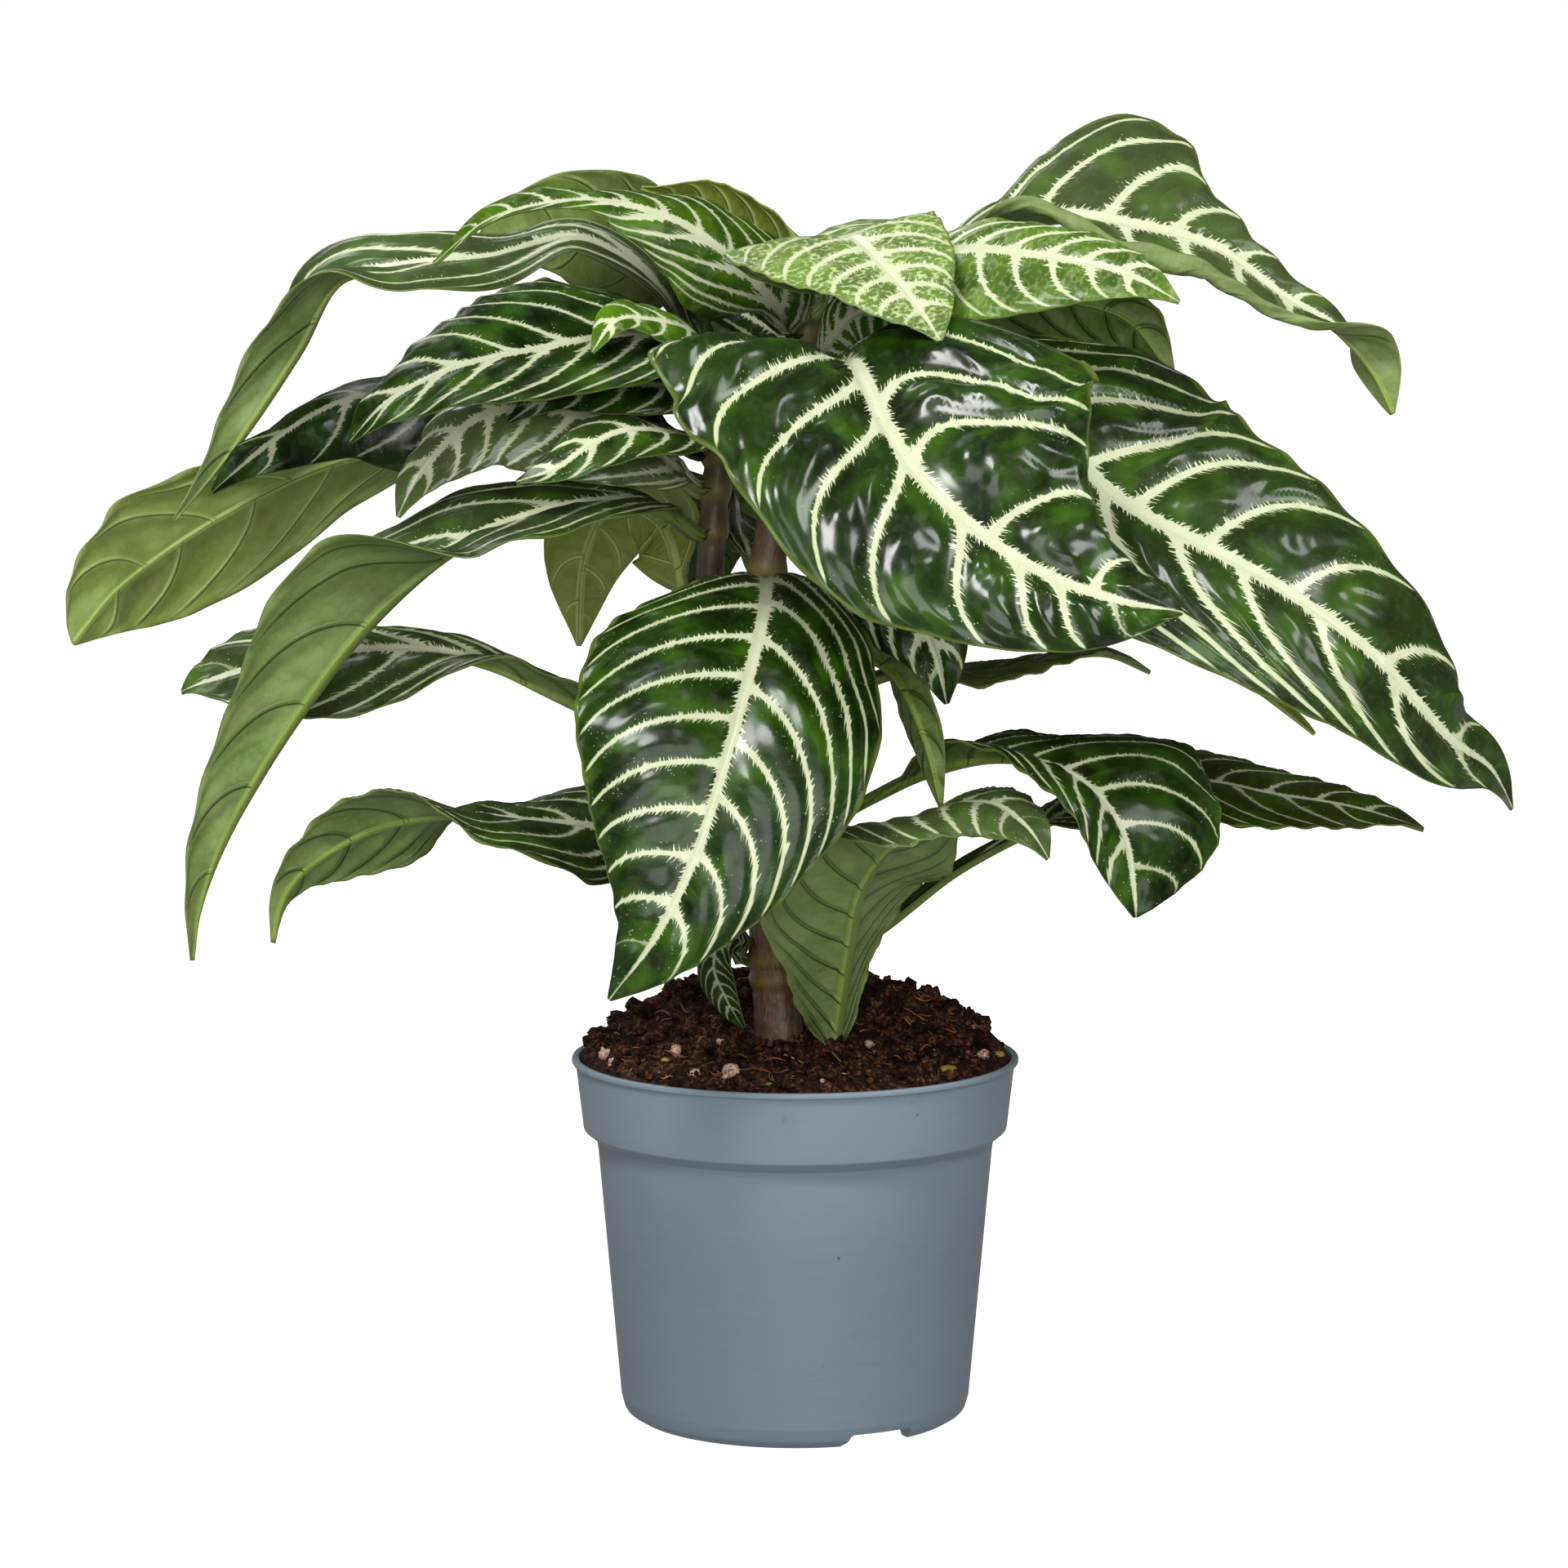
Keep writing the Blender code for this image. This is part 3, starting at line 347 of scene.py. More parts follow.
# %% The leaves
LEAVES = {
    # the front of the plant
    "leaf_front_centre": Leaf(
        "stem_main", 250, [(-9, -30, 267), (-10, -65, 257), (-19, -92, 224), (-30, -103, 190),
                           (-41, -106, 168), (-55, -101, 148)],
        [(0, -0.3, 1), (0, -0.8, 0.6), (0, -0.95, 0.3), (0, -1, 0.2)], 48, (10,), (10,), (30, 30), 0.1,
        reach=((0.8, 0.7, 0.65, 0.8, 0.9, 0.95, 0.9, 0.85, 0.85), (1, 1, 1.05, 1, 0.6))),
    "leaf_front_right": Leaf(
        "stem_main", 303, [(5, -27, 318), (11, -45, 331), (17, -62, 334), (27, -88, 316), (38, -103, 301),
                           (58, -113, 284), (76, -117, 274), (94, -118, 268), (112, -117, 264)],
        [(-0.1, -0.5, 0.85), (-0.1, -0.6, 0.8), (0.1, -0.85, 0.5), (0.1, -0.85, 0.5)], 50,
        (20, 14, 14, 6, 6), (40, 42, 24, 6, 6), (24, 24), 0.24, 0.4,
        ((1, 1, 1, 1.05, 1.25, 1.32, 1.3, 1.3, 1.28, 1.2, 1.05, 1, 1),
         (1, 1, 1, 2.4, 2.0, 1.42, 1.1, 1.03, 1, 0.88, 0.88, 0.95, 1))),
    "leaf_right_large": Leaf(
        "stem_right", 310, [(48, -2, 326), (75, -18, 312), (100, -30, 290), (127, -38, 276),
                            (147, -42, 265), (175, -44, 245), (199, -38, 219), (213, -26, 208),
                            (221, -18, 194)],
        [(0, -0.4, 0.9), (0.1, -0.7, 0.7), (0.25, -0.8, 0.5), (0.3, -0.8, 0.5), (0.5, -0.7, 0.3)],
        44, (6,), (6,), (24, 24), 0.06, 0.4, ((1.3, 1.4, 1.5, 1.32, 1.12, 1.05, 1.05, 1, 0.7),
                                              (1, 0.9, 0.9, 0.95, 0.9))),
    "leaf_low_front": Leaf(
        None, 0, [(12, -15, 104), (12, -16, 120), (14, -24, 140), (16, -32, 155), (19, -40, 171),
                  (26, -47, 184), (36, -54, 194), (48, -62, 201), (60, -71, 202), (69, -78, 196),
                  (75, -81, 187)],
        [(-0.1, 0.9, 0.4), (-0.2, 0.9, 0.4), (-0.1, 0.9, 0.4), (0, 0, 1), (0.3, -0.7, 0.6)],
        35, (50, 50, 20, 10), (0, 0, 5, 5), (20, 50), 0.1, 0.42,
        ((0.55, 0.62, 0.85, 0.8, 1), (0.6, 0.75, 1.05, 1.1, 1.1))),
    "leaf_low_back": Leaf(
        "stem_main", 146, [(-17, -8, 152), (-23, -10, 151), (-25, -12, 144), (-21, -14, 134),
                           (-15.8, -15, 125)],
        [(-0.5, -0.5, 0.7), (-0.8, -0.7, 0.2), (-0.6, -0.8, 0.1)], 8),
    "leaf_centre_hanging": Leaf(
        "stem_main", 288, [(5, -22, 287), (19, -31, 272), (34, -36, 259), (42, -39, 246), (46, -40, 229)],
        [(0, -0.7, 0.7), (-0.2, -0.9, 0.3), (0, -1, 0)], 21, (10,), (10,), (20, 20), 0.12,
        reach=((1,), (0.5, 0.5, 0.8, 1, 1))),
    "leaf_centre_pale": Leaf(
        "stem_right", 238, [(20, -10, 241), (31, -30, 236), (39, -43, 219), (44, -50, 199)],
        [(0.5, 0, 0.8), (0.6, 0.7, 0.3), (0.3, 0.9, 0)], 9, (20,), (20,)),

    # the crown
    "leaf_crown_front": Leaf(
        "stem_main", 347, [(12, -10, 367), (17, -25, 370), (29, -47, 359), (37, -60, 349), (43, -68, 340)],
        [(0, -0.3, 0.95), (-0.1, -0.55, 0.83), (0, -0.6, 0.8)], 36, (4,), (15,), (14, 14), 0.1, 0.36,
        ((1, 0.85, 0.75, 0.8, 1), (1.1, 1.15, 1.05, 0.9, 0.9))),
    "leaf_crown_under": Leaf(
        "stem_main", 328, [(11, -12, 338), (18, -20, 346), (28, -27, 347), (37, -31, 343), (43, -33, 338)],
        [(0, -0.6, 0.8), (0, -0.9, 0.4), (0, -0.8, 0.6)], 15, stalk=0.2, reach=((0.6,), (1,))),
    "leaf_crown_right": Leaf(
        "stem_right", 343, [(38, -10, 360), (50, -22, 366), (78, -37, 364), (98, -44, 360), (115, -48, 351)],
        [(0, -0.7, 0.7), (0, -0.8, 0.6), (0, -0.75, 0.65)], 22, (4,), (8,), (20, 20), 0.1,
        reach=((0.6, 0.55, 0.62, 0.8, 1), (1, 1.15, 1.2, 1, 1))),
    "leaf_crown_left": Leaf(
        "stem_main", 339, [(-7, -10, 350), (-18, -15, 362), (-34, -17, 374), (-48, -16, 379),
                           (-62, -15, 381), (-80, -13, 379), (-95, -9, 374), (-111, -5, 361)],
        [(-0.5, -0.8, 0.3), (-0.3, -0.85, 0.45), (0, -0.85, 0.5), (0, -0.75, 0.66)], 27, (0,), (-35,),
        (24, 24), 0.04, 0.33, ((1, 0.9, 0.82, 0.62, 0.42, 0.18, 0.1, 0.1, 0.3),
                               (0.92, 0.9, 0.75, 0.6, 0.5, 0.4, 0.3))),
    "leaf_crown_small": Leaf(
        "stem_left", 332, [(-32, -17, 341), (-44, -30, 345), (-54, -40, 345), (-61, -47, 336)],
        [(0, -0.6, 0.8), (-0.2, -0.8, 0.6)], 11),
    "leaf_crown_back_young": Leaf(
        "stem_main", 349, [(-3, 14, 363), (-16, 19, 372), (-28, 23, 378), (-48, 24, 384)],
        [(0.3, -0.2, 0.9), (0, 0, 1)], 14, (70,), (30,)),
    "leaf_crown_left_back": Leaf(
        "stem_left", 336, [(-36, 28, 360), (-56, 42, 367), (-74, 47, 371), (-90, 47, 368), (-103, 45, 358)],
        [(0, 0.5, 0.8), (0, 0.95, 0.2), (-0.2, 0.95, 0.1)], 23, (4,), (4,), (10, 10),
        reach=((0.3, 0.65, 1, 1, 1), (0.4, 0.7, 1, 0.9, 0.9))),

    # the right side
    "leaf_top_right": Leaf(
        "stem_right", 337, [(55, 14, 368), (80, 10, 376), (100, 6, 374), (130, 0, 366), (150, -2, 352),
                            (168, -4, 341), (178, -5, 328), (184, -6, 315)],
        [(0, -0.3, 1), (0, -0.8, 0.6), (0, -0.8, 0.6), (0.1, -0.6, 0.8), (0.3, 0.9, 0.2)], 41,
        (0, 0, 0, 20, 10), (64, 64, 24, 10, 10), (24, -10), 0.16, 0.4,
        ((0.3, 0.3, 0.2, 0.3, 0.9, 1.26, 1.1, 0.55, 0.3, 0.25, 0.3, 0.6, 0.8),
         (0.8, 0.75, 0.8, 0.8, 1))),
    "leaf_right_back_upper": Leaf(
        "stem_right", 328, [(50, 26, 343), (80, 29, 349), (104, 30, 343), (119, 28, 324)],
        [(0, 0.5, 1), (0.1, 0.9, 0.5), (0.3, 0.9, 0.3)], 18, reach=((0.5, 0.7, 1, 1), (0.4, 0.6, 1, 1))),
    "leaf_right_under": Leaf(
        "stem_right", 272, [(45, 18, 278), (85, 18, 268), (120, 12, 248), (146, 6, 228), (162, 2, 215)],
        [(0, 0, 1), (0.2, 0, 1), (0.4, 0, 0.8)], 24, (10,), (50,)),
    "leaf_right_thin_back": Leaf(
        "stem_right", 228, [(32, 16, 233), (60, 22, 233), (82, 24, 237), (98, 24, 238), (112, 24, 232)],
        [(0, 0, 1), (0, -0.1, 1), (0.3, 0, 0.9)], 13),
    "leaf_right_low": Leaf(
        "stem_right", 190, [(24, -10, 197), (44, -25, 208), (62, -40, 213), (80, -53, 211), (92, -63, 203),
                            (99, -69, 191), (102, -71, 168)],
        [(0, -0.2, 1), (0, -0.3, 1), (0.2, -0.4, 0.9), (0.3, -0.8, 0.5), (0.1, -1, 0)], 25,
        (10, 20, 0, 0), (20, 50, 40, 10), (26, 26), 0.22, 0.5,
        ((1, 1, 1.15, 2.1, 3), (1, 1, 0.8, 0.8, 1))),
    "leaf_right_far": Leaf(
        "stem_main", 140, [(27, -3, 155), (50, 2, 172), (75, 6, 185), (92, 10, 193), (110, 12, 199),
                           (130, 12, 199), (150, 12, 195), (175, 10, 191), (197, 8, 184)],
        [(-0.3, -0.2, 0.9), (-0.2, -0.3, 0.9), (0, -0.35, 0.94), (0.1, -0.35, 0.9)], 24, (8,), (8,),
        (24, 24), 0.42, 0.4),

    # the left side
    "leaf_left_arched": Leaf(
        "stem_left", 330, [(-42, 18, 353), (-56, 22, 364), (-70, 24, 369), (-95, 26, 363), (-124, 26, 360),
                           (-143, 26, 355), (-156, 24, 333), (-174, 20, 306), (-194, 12, 281)],
        [(0, -0.5, 0.85), (0, -0.8, 0.6), (-0.1, -0.7, 0.7), (-0.7, 0, 0.7), (-0.8, 0, 0.5)], 23,
        (25, 25, 25, 35, 60, 75, 60), (-20, -20, -15, 5, 30, 60, 50), (24, 20), 0.08, 0.42,
        ((0.3, 0.4, 1, 1.05, 1), (0.4, 0.45, 0.65, 1, 1))),
    "leaf_left_back": Leaf(
        "stem_left", 290, [(-60, 32, 312), (-105, 42, 306), (-149, 48, 296), (-182, 45, 280), (-204, 36, 266),
                           (-216, 26, 256), (-226, 14, 242)],
        [(0, 0.5, 0.9), (-0.1, 0.8, 0.6), (-0.1, 0.9, 0.4), (-0.1, 0.9, 0.4)], 27, (8,), (8,), (20, 20),
        0.25, 0.66, ((1, 1, 0.95, 0.85, 0.65, 0.6, 0.75, 1.1, 1.4), (1, 1, 0.95, 0.95, 0.9))),
    "leaf_left_shadow": Leaf(
        "stem_left", 302, [(-55, 2, 318), (-90, 2, 325), (-118, 3, 322), (-140, 4, 319), (-160, 5, 308),
                           (-173, 5, 297), (-181, 5, 290)],
        [(0, -0.7, 0.7), (0, -0.8, 0.6), (-0.1, -0.8, 0.5)], 24, (5,), (-30,), (24, 24), 0.1,
        reach=((1, 1, 1.3, 1.1, 1), (1,))),
    "leaf_left_sheen": Leaf(
        "stem_left", 292, [(-50, -20, 310), (-76, -23, 318), (-95, -24, 316), (-106, -26, 308),
                           (-115, -28, 297), (-121, -29, 285)],
        [(0, -0.7, 0.7), (0, -0.8, 0.5), (-0.3, -0.8, 0.4)], 22, (5,), (-10,)),
    "leaf_left_glossy": Leaf(
        "stem_left", 322, [(-42, -20, 340), (-60, -32, 340), (-78, -40, 337), (-94, -46, 334),
                           (-107, -48, 330), (-123, -49, 321), (-134, -47, 309)],
        [(0, -0.5, 0.85), (0, -0.65, 0.75), (-0.1, -0.7, 0.7)], 29, (4,), (4,), (24, 24), 0.06,
        reach=((1, 0.8, 0.7, 0.7, 1), (1.1, 1.35, 1.25, 0.95, 0.95))),
    "leaf_left_small": Leaf(
        "stem_left", 306, [(-40, -28, 311), (-52, -41, 312), (-62, -48, 308), (-72, -50, 301),
                           (-84, -50, 297)],
        [(0, -0.5, 0.85), (0, -0.7, 0.7)], 13),
    "leaf_left_dark": Leaf(
        "stem_left", 314, [(-36, -16, 323), (-54, -25, 325), (-72, -32, 323), (-87, -36, 314)],
        [(0, -0.5, 0.85), (0, -0.7, 0.7)], 13),
    "leaf_left_long": Leaf(
        "stem_left", 278, [(-45, -16, 289), (-62, -26, 290), (-82, -35, 286), (-104, -44, 277),
                           (-129, -50, 255), (-150, -50, 228), (-163, -50, 208), (-175, -48, 186),
                           (-182, -46, 166), (-184, -45, 151)],
        [(0, -0.2, 1), (-0.3, -0.1, 1), (-0.7, 0, 0.7), (-0.9, 0, 0.4), (-1, 0, 0.3)], 34,
        (0, 0, 0, 5, 70, 78, 78, 70, 60), (0, 20, 35, 40, 52, 60, 66, 50, 40), (20, 20), 0.06, 0.44,
        ((1, 1, 0.95, 0.7, 0.8), (1, 0.8, 0.9, 0.7, 0.7))),
    "leaf_left_middle": Leaf(
        "stem_left", 200, [(-45, 0, 214), (-66, -4, 224), (-80, -6, 231), (-90, -7, 236), (-101, -8, 240),
                           (-119, -9, 243), (-150, -10, 241), (-175, -9, 235), (-190, -8, 229)],
        [(0, -0.2, 1), (0, -0.4, 0.9), (0, -0.6, 0.8), (0, -0.6, 0.8)], 26, (80, 85, 60, 5, 0, 0), (10,),
        (24, 24), 0.12, 0.55, ((1, 1, 0.7, 1.1, 1.2), (1, 0.6, 0.35, 0.4, 1.1, 1.8))),
    "leaf_left_low": Leaf(
        "stem_main", 165, [(-35, -24, 184), (-62, -34, 191), (-83, -40, 194), (-103, -42, 196),
                           (-119, -42, 194), (-131, -40, 190), (-142, -39, 184), (-151, -38, 177),
                           (-157, -37, 168), (-160, -36, 155)],
        [(0, -0.5, 0.85), (0, -0.9, 0.4), (0, -0.1, 1), (-0.4, 0.8, 0.4), (-0.6, 0.6, 0.2)], 26,
        (8,), (8,), (24, 24), 0.12, 0.5, ((1, 1, 1.25, 0.75, 0.4), (1, 0.9, 0.85, 0.8, 0.45))),

    # the back
    "leaf_back_hanging": Leaf(
        "stem_left", 250, [(-43, 28, 280), (-59, 40, 282), (-67, 46, 266), (-69, 48, 238)],
        [(0, 0.3, 1), (0, 0.9, 0.4), (0, 1, 0)], 19, (8,), (8,)),
    "leaf_back_grey": Leaf(
        "stem_main", 266, [(-20, 26, 284), (-26, 42, 284), (-29, 49, 270), (-29, 51, 248)],
        [(0, 0.3, 1), (0, 0.9, 0.4), (0, 1, 0)], 19),
    "leaf_back_right": Leaf(
        "stem_right", 306, [(40, 48, 326), (72, 86, 318), (96, 112, 292), (104, 122, 266)],
        [(0, 0, 1), (0.3, 0.4, 0.9), (0.6, 0.7, 0.4)], 36),
    "leaf_back_centre": Leaf(
        "stem_main", 322, [(0, 46, 348), (-5, 88, 338), (-9, 114, 302), (-12, 122, 258)],
        [(0, 0, 1), (0, 0.5, 0.9), (0, 0.9, 0.4)], 40),
    "leaf_back_left": Leaf(
        "stem_left", 308, [(-50, 44, 328), (-90, 82, 318), (-118, 106, 294), (-130, 114, 276)],
        [(0, 0, 1), (-0.3, 0.4, 0.9), (-0.6, 0.6, 0.5)], 34),
    "leaf_back_low": Leaf(
        "stem_main", 232, [(-8, 38, 248), (-8, 74, 234), (-10, 98, 202), (-10, 106, 172)],
        [(0, 0, 1), (0, 0.6, 0.8), (0, 1, 0.2)], 29),
    "leaf_back_crown": Leaf(
        "stem_main", 341, [(12, 30, 363), (16, 58, 364), (18, 86, 352), (18, 104, 332)],
        [(0, 0, 1), (0, 0.2, 1), (0, 0.7, 0.7)], 30),
    "leaf_back_right_upper": Leaf(
        "stem_right", 318, [(50, 48, 336), (84, 76, 332), (112, 95, 314), (122, 100, 293)],
        [(0, 0, 1), (0.3, 0.2, 0.9), (0.7, 0.5, 0.5)], 28),
    "leaf_back_left_upper": Leaf(
        "stem_left", 320, [(-46, 40, 337), (-76, 62, 338), (-104, 76, 328), (-118, 82, 308)],
        [(0, 0, 1), (-0.2, 0.2, 1), (-0.6, 0.4, 0.6)], 24),
}
print("leaves:", len(LEAVES))

# %% [markdown]
# ## What a leaf looks like
# Leaves of one plant differ with age and light. A young leaf is paler and smoother, an old one is dark,
# glossy and deeply quilted, and one that grows low down in the shade has little shine. A second record
# holds that, apart from the first, because the solids have no use for it. It also holds painted shade,
# which darkens leaves that lie in the shade of others, and on a few leaves painted light, which lifts
# them where the lamps leave them too dark.

# %% A leaf's look
@dataclass
class Look:
    """What a leaf's surface is like.

    veins: side veins on the left and on the right half: how many, or where each leaves the midrib
    band:  half the width of a pale band where it leaves the midrib, mm
    sweep: how strongly the side veins curve towards the tip, left and right, or evenly spaced along
           the leaf where that changes
    youth: 0 for a full-grown leaf, 1 for one that is still opening, which is paler and softer
    olive: how much the green leans to olive
    quilt: how far the blade bulges up between its veins, mm
    wave:  how far the margin waves up and down, mm
    gloss: how strong the waxy shine is
    shade: painted shade: how far the leaf's colour is darkened towards black, evenly spaced along it,
       where the leaf lies in the shade of other leaves
    haze:  how much paler and greyer the green is than usual; on a few leaves it is partly painted
       light, which lifts a leaf that the lamps leave too dark
    curl:  degrees that the edge of each half turns up, left and right, evenly spaced along the leaf
    lean:  share of the blade that a side vein runs towards the tip just after it leaves the midrib,
           left and right, evenly spaced along the leaf
    """
    veins: tuple = (9, 9)
    band: float = 1.4
    sweep: tuple = (1.0, 1.0)
    youth: float = 0.0
    olive: float = 0.0
    quilt: float = 1.1
    wave: float = 1.4
    gloss: float = 0.25
    shade: tuple = (1.0,)
    haze_and_painted_light: float = 0.0
    curl: tuple = ((0,), (0,))
    lean: tuple = ((0,), (0,))


# shade in these looks is painted shade: it darkens leaves, or parts of them, that lie in the shade of other
# leaves
LOOKS = {
    "leaf_front_centre": Look((9, 11), 1.25, (1.9, 0.9), quilt=0.8, gloss=0.45),
    "leaf_front_right": Look(((-0.25, 0.06, 0.28, 0.43, 0.63, 0.84),
                              (-0.18, -0.1, -0.02, 0.07, 0.18, 0.29, 0.4, 0.56, 0.68, 0.76, 0.87)),
                             1.7, ((3.0, 3.0, 3.0, 1.5, 0.9), (0.7, 0.7, 0.8, 1.15, 1.2)), quilt=2.6,
                             wave=1.8, gloss=0.7, lean=((-0.16, -0.16, -0.15, -0.02, 0),
                                                        (0.1, 0.1, 0.1, 0.05, 0))),
    "leaf_right_large": Look(((-0.05, 0.03, 0.11, 0.19, 0.28, 0.36, 0.46, 0.58, 0.72, 0.86),
                              (-0.05, 0.08, 0.2, 0.32, 0.42, 0.51, 0.62, 0.74, 0.86)),
                             1.8, (1.0, 1.7), quilt=1.9, gloss=0.5, haze_and_painted_light=0.03),
    "leaf_right_thin_back": Look((7, 7), 0.0, olive=0.15, haze_and_painted_light=0.2),
    "leaf_right_under": Look((8, 8), 0.2, olive=0.8),
    "leaf_right_back_upper": Look((8, 8), 0.5),
    "leaf_right_low": Look((8, 8), 1.0, (1.3, 1.3)),
    "leaf_right_far": Look((7, 7), 0.7, (1.5, 1.5), olive=0.1, shade=(0.7,), gloss=0.1),
    "leaf_top_right": Look((7, 8), 1.8, (1.3, 1.0), quilt=1.5, haze_and_painted_light=0.14,
                           curl=((0,), (0, 0, 0, 140, 150, 150, 120, 40, 0))),
    # its paleness is partly painted light: it lifts an underside that the lamps leave shaded, as well as
    # greying it
    "leaf_low_front": Look((12, 12), 1.2, haze_and_painted_light=0.17, quilt=0.8),
    "leaf_left_arched": Look((4, 3), 0.9, (2.0, 2.2), haze_and_painted_light=0.13, shade=(0.3, 0.4, 0.8, 1, 1, 1, 1)),
    "leaf_left_back": Look((6, 6), 1.2, (1.3, 1.3), olive=0.35, haze_and_painted_light=0.08),
    "leaf_left_long": Look((7, 7), 1.2, (1.4, 1.4), haze_and_painted_light=0.08, shade=(0.8, 0.9, 1, 1)),
    "leaf_left_middle": Look((7, 7), 1.2, (1.3, 1.3), haze_and_painted_light=0.1),
    "leaf_left_glossy": Look((7, 7), 0.9, (1.6, 1.6), gloss=0.08, shade=(0.75,),
                             lean=((0.05,), (0.05,))),
    # its paleness is partly painted light and painted sheen: it lifts a leaf that lies in the shade of the
    # glossy leaf above
    "leaf_left_sheen": Look((8, 8), 1.2, (1.2, 1.2), haze_and_painted_light=0.26, gloss=1.0),
    "leaf_left_shadow": Look((5, 5), 0.95, (1.3, 1.3), shade=(0.15, 0.22, 0.36), gloss=0.1),
    "leaf_left_low": Look((8, 8), 0.8, (1.6, 1.6), shade=(0.45, 0.55, 0.9, 1), haze_and_painted_light=0.05, gloss=0.1),
    "leaf_left_small": Look((5, 5), 1.0, (1.3, 1.3), haze_and_painted_light=0.03, quilt=0.5, wave=0.6),
    "leaf_left_dark": Look((5, 5), 0.9, quilt=0.5, wave=0.6, shade=(0.6,)),
    "leaf_crown_front": Look((9, 9), 1.5, youth=0.7, haze_and_painted_light=0.27, quilt=0.8, wave=1.0),
    "leaf_crown_under": Look((8, 8), 0.9, youth=0.5, quilt=0.6, wave=0.8, shade=(0.6,)),
    "leaf_crown_right": Look((8, 8), 1.2, youth=0.6, haze_and_painted_light=0.08, quilt=0.8, wave=0.8),
    "leaf_crown_left": Look((8, 10), 0.85, (2.5, 1.2), youth=0.5, quilt=0.6, wave=0.8, gloss=0.15,
                            shade=(0.25, 0.65, 0.85, 0.9, 1), lean=((0.05,), (0,))),
    "leaf_crown_left_back": Look((5, 5), 0.9, youth=0.3, quilt=0.6, wave=0.8, olive=0.2,
                                 shade=(0.3, 0.35, 0.6, 1, 1)),
    "leaf_crown_small": Look((5, 5), 0.8, youth=0.7, quilt=0.4, wave=0.5),
    "leaf_crown_back_young": Look((6, 6), 0.4, youth=1.0, olive=0.8, quilt=0.3, wave=0.4),
    "leaf_centre_hanging": Look((6, 6), 1.2, (1.4, 1.4), quilt=0.7, wave=0.8),
    "leaf_centre_pale": Look((5, 5), 0.7, youth=0.5, quilt=0.4, wave=0.5),
    "leaf_low_back": Look((9, 9), 0.3, quilt=0.3, wave=0.3, shade=(0.6,), gloss=0.1),
    # its youth, olive and paleness partly paint light: they make a leaf that the lamps leave dark yellower
    # and brighter
    "leaf_back_hanging": Look((6, 6), 0.7, youth=1.0, olive=1.0, haze_and_painted_light=0.12, quilt=0.5, wave=0.7),
    "leaf_back_grey": Look((6, 6), 0.7, olive=0.1, shade=(0.7,), quilt=0.5, wave=0.6),
}
print("looks:", len(LOOKS), "and the other leaves have the usual one")

# %% [markdown]
# ## The paint of a leaf
# A full-grown leaf is dark green, with an ivory band along the midrib and along each side vein, and
# each band frays where fine cross veins leave it. Every point of a blade knows how far it is from the
# midrib, how far it is out towards the margin, and how far it is from the nearest side vein, so the
# bands are just those distances compared with a width. The width shrinks towards the margin, and noise
# that changes only along the vein gives the frayed edge.

# %% Leaf colours
def srgb(red, green, blue):
    """A colour for a socket, from red, green and blue as a screen counts them, up to 255."""
    shares = [value / 255 for value in (red, green, blue)]
    return (*(s / 12.92 if s <= 0.04045 else ((s + 0.055) / 1.055) ** 2.4 for s in shares), 1.0)


PAINTED_SHADE_BLACK = srgb(0, 0, 0)
DEEP_GREEN = srgb(12, 25, 2)
DARK_GREEN = srgb(31, 56, 5)
PAINTED_GLOW_GREEN = srgb(60, 102, 10)
MOTTLE_GREEN = srgb(56, 84, 18)
HALO_GREEN = srgb(66, 100, 24)
YOUNG_GREEN = srgb(48, 88, 2)
YOUNG_LIGHT_GREEN = srgb(98, 140, 14)
OLIVE_GREEN = srgb(124, 138, 14)
HAZE_AND_PAINTED_LIGHT_GREEN = srgb(146, 162, 104)
NET_GREEN = srgb(196, 210, 150)
FINE_NET_GREEN = srgb(206, 218, 158)
MARGIN_GREEN = srgb(112, 130, 54)
IVORY = srgb(212, 216, 186)
CREAM = srgb(190, 197, 156)
GREEN_CREAM = srgb(178, 192, 136)
print("darkest green as the shader counts it:", [round(share, 4) for share in DEEP_GREEN])

# %% The numbers on a leaf
def read_leaf(paint):
    """Numbers of each point of a leaf.

    x, out, along: mm from the midrib, share of the way to the margin, share of the leaf's length
    number, away:  the nearest side vein, and how many mm away it is
    drawn, blade:  1 where side veins are drawn, and 1 on the blade but not on the stalk
    """
    x, out, along = paint.attribute("leaf")
    phase, pitch, leaves_at = paint.attribute("vein")
    number = (phase + 0.5).floor()
    away = abs(phase - number) * pitch
    drawn = leaves_at.step(-0.28, -0.2) * leaves_at.fade(0.84, 0.92)
    return x, out, along, number, away, drawn, leaves_at.step(-0.02, 0.07)


print("a leaf's numbers are read from its points")

# %% [markdown]
# ## The ivory bands
# Two noises run along each vein. The slow one makes the band wider and narrower, and the quick one,
# of which only the peaks count, pulls out the barbs. Both get a new place for each vein, so that no two
# veins fray alike, and both lean towards the margin, as the real cross veins do.

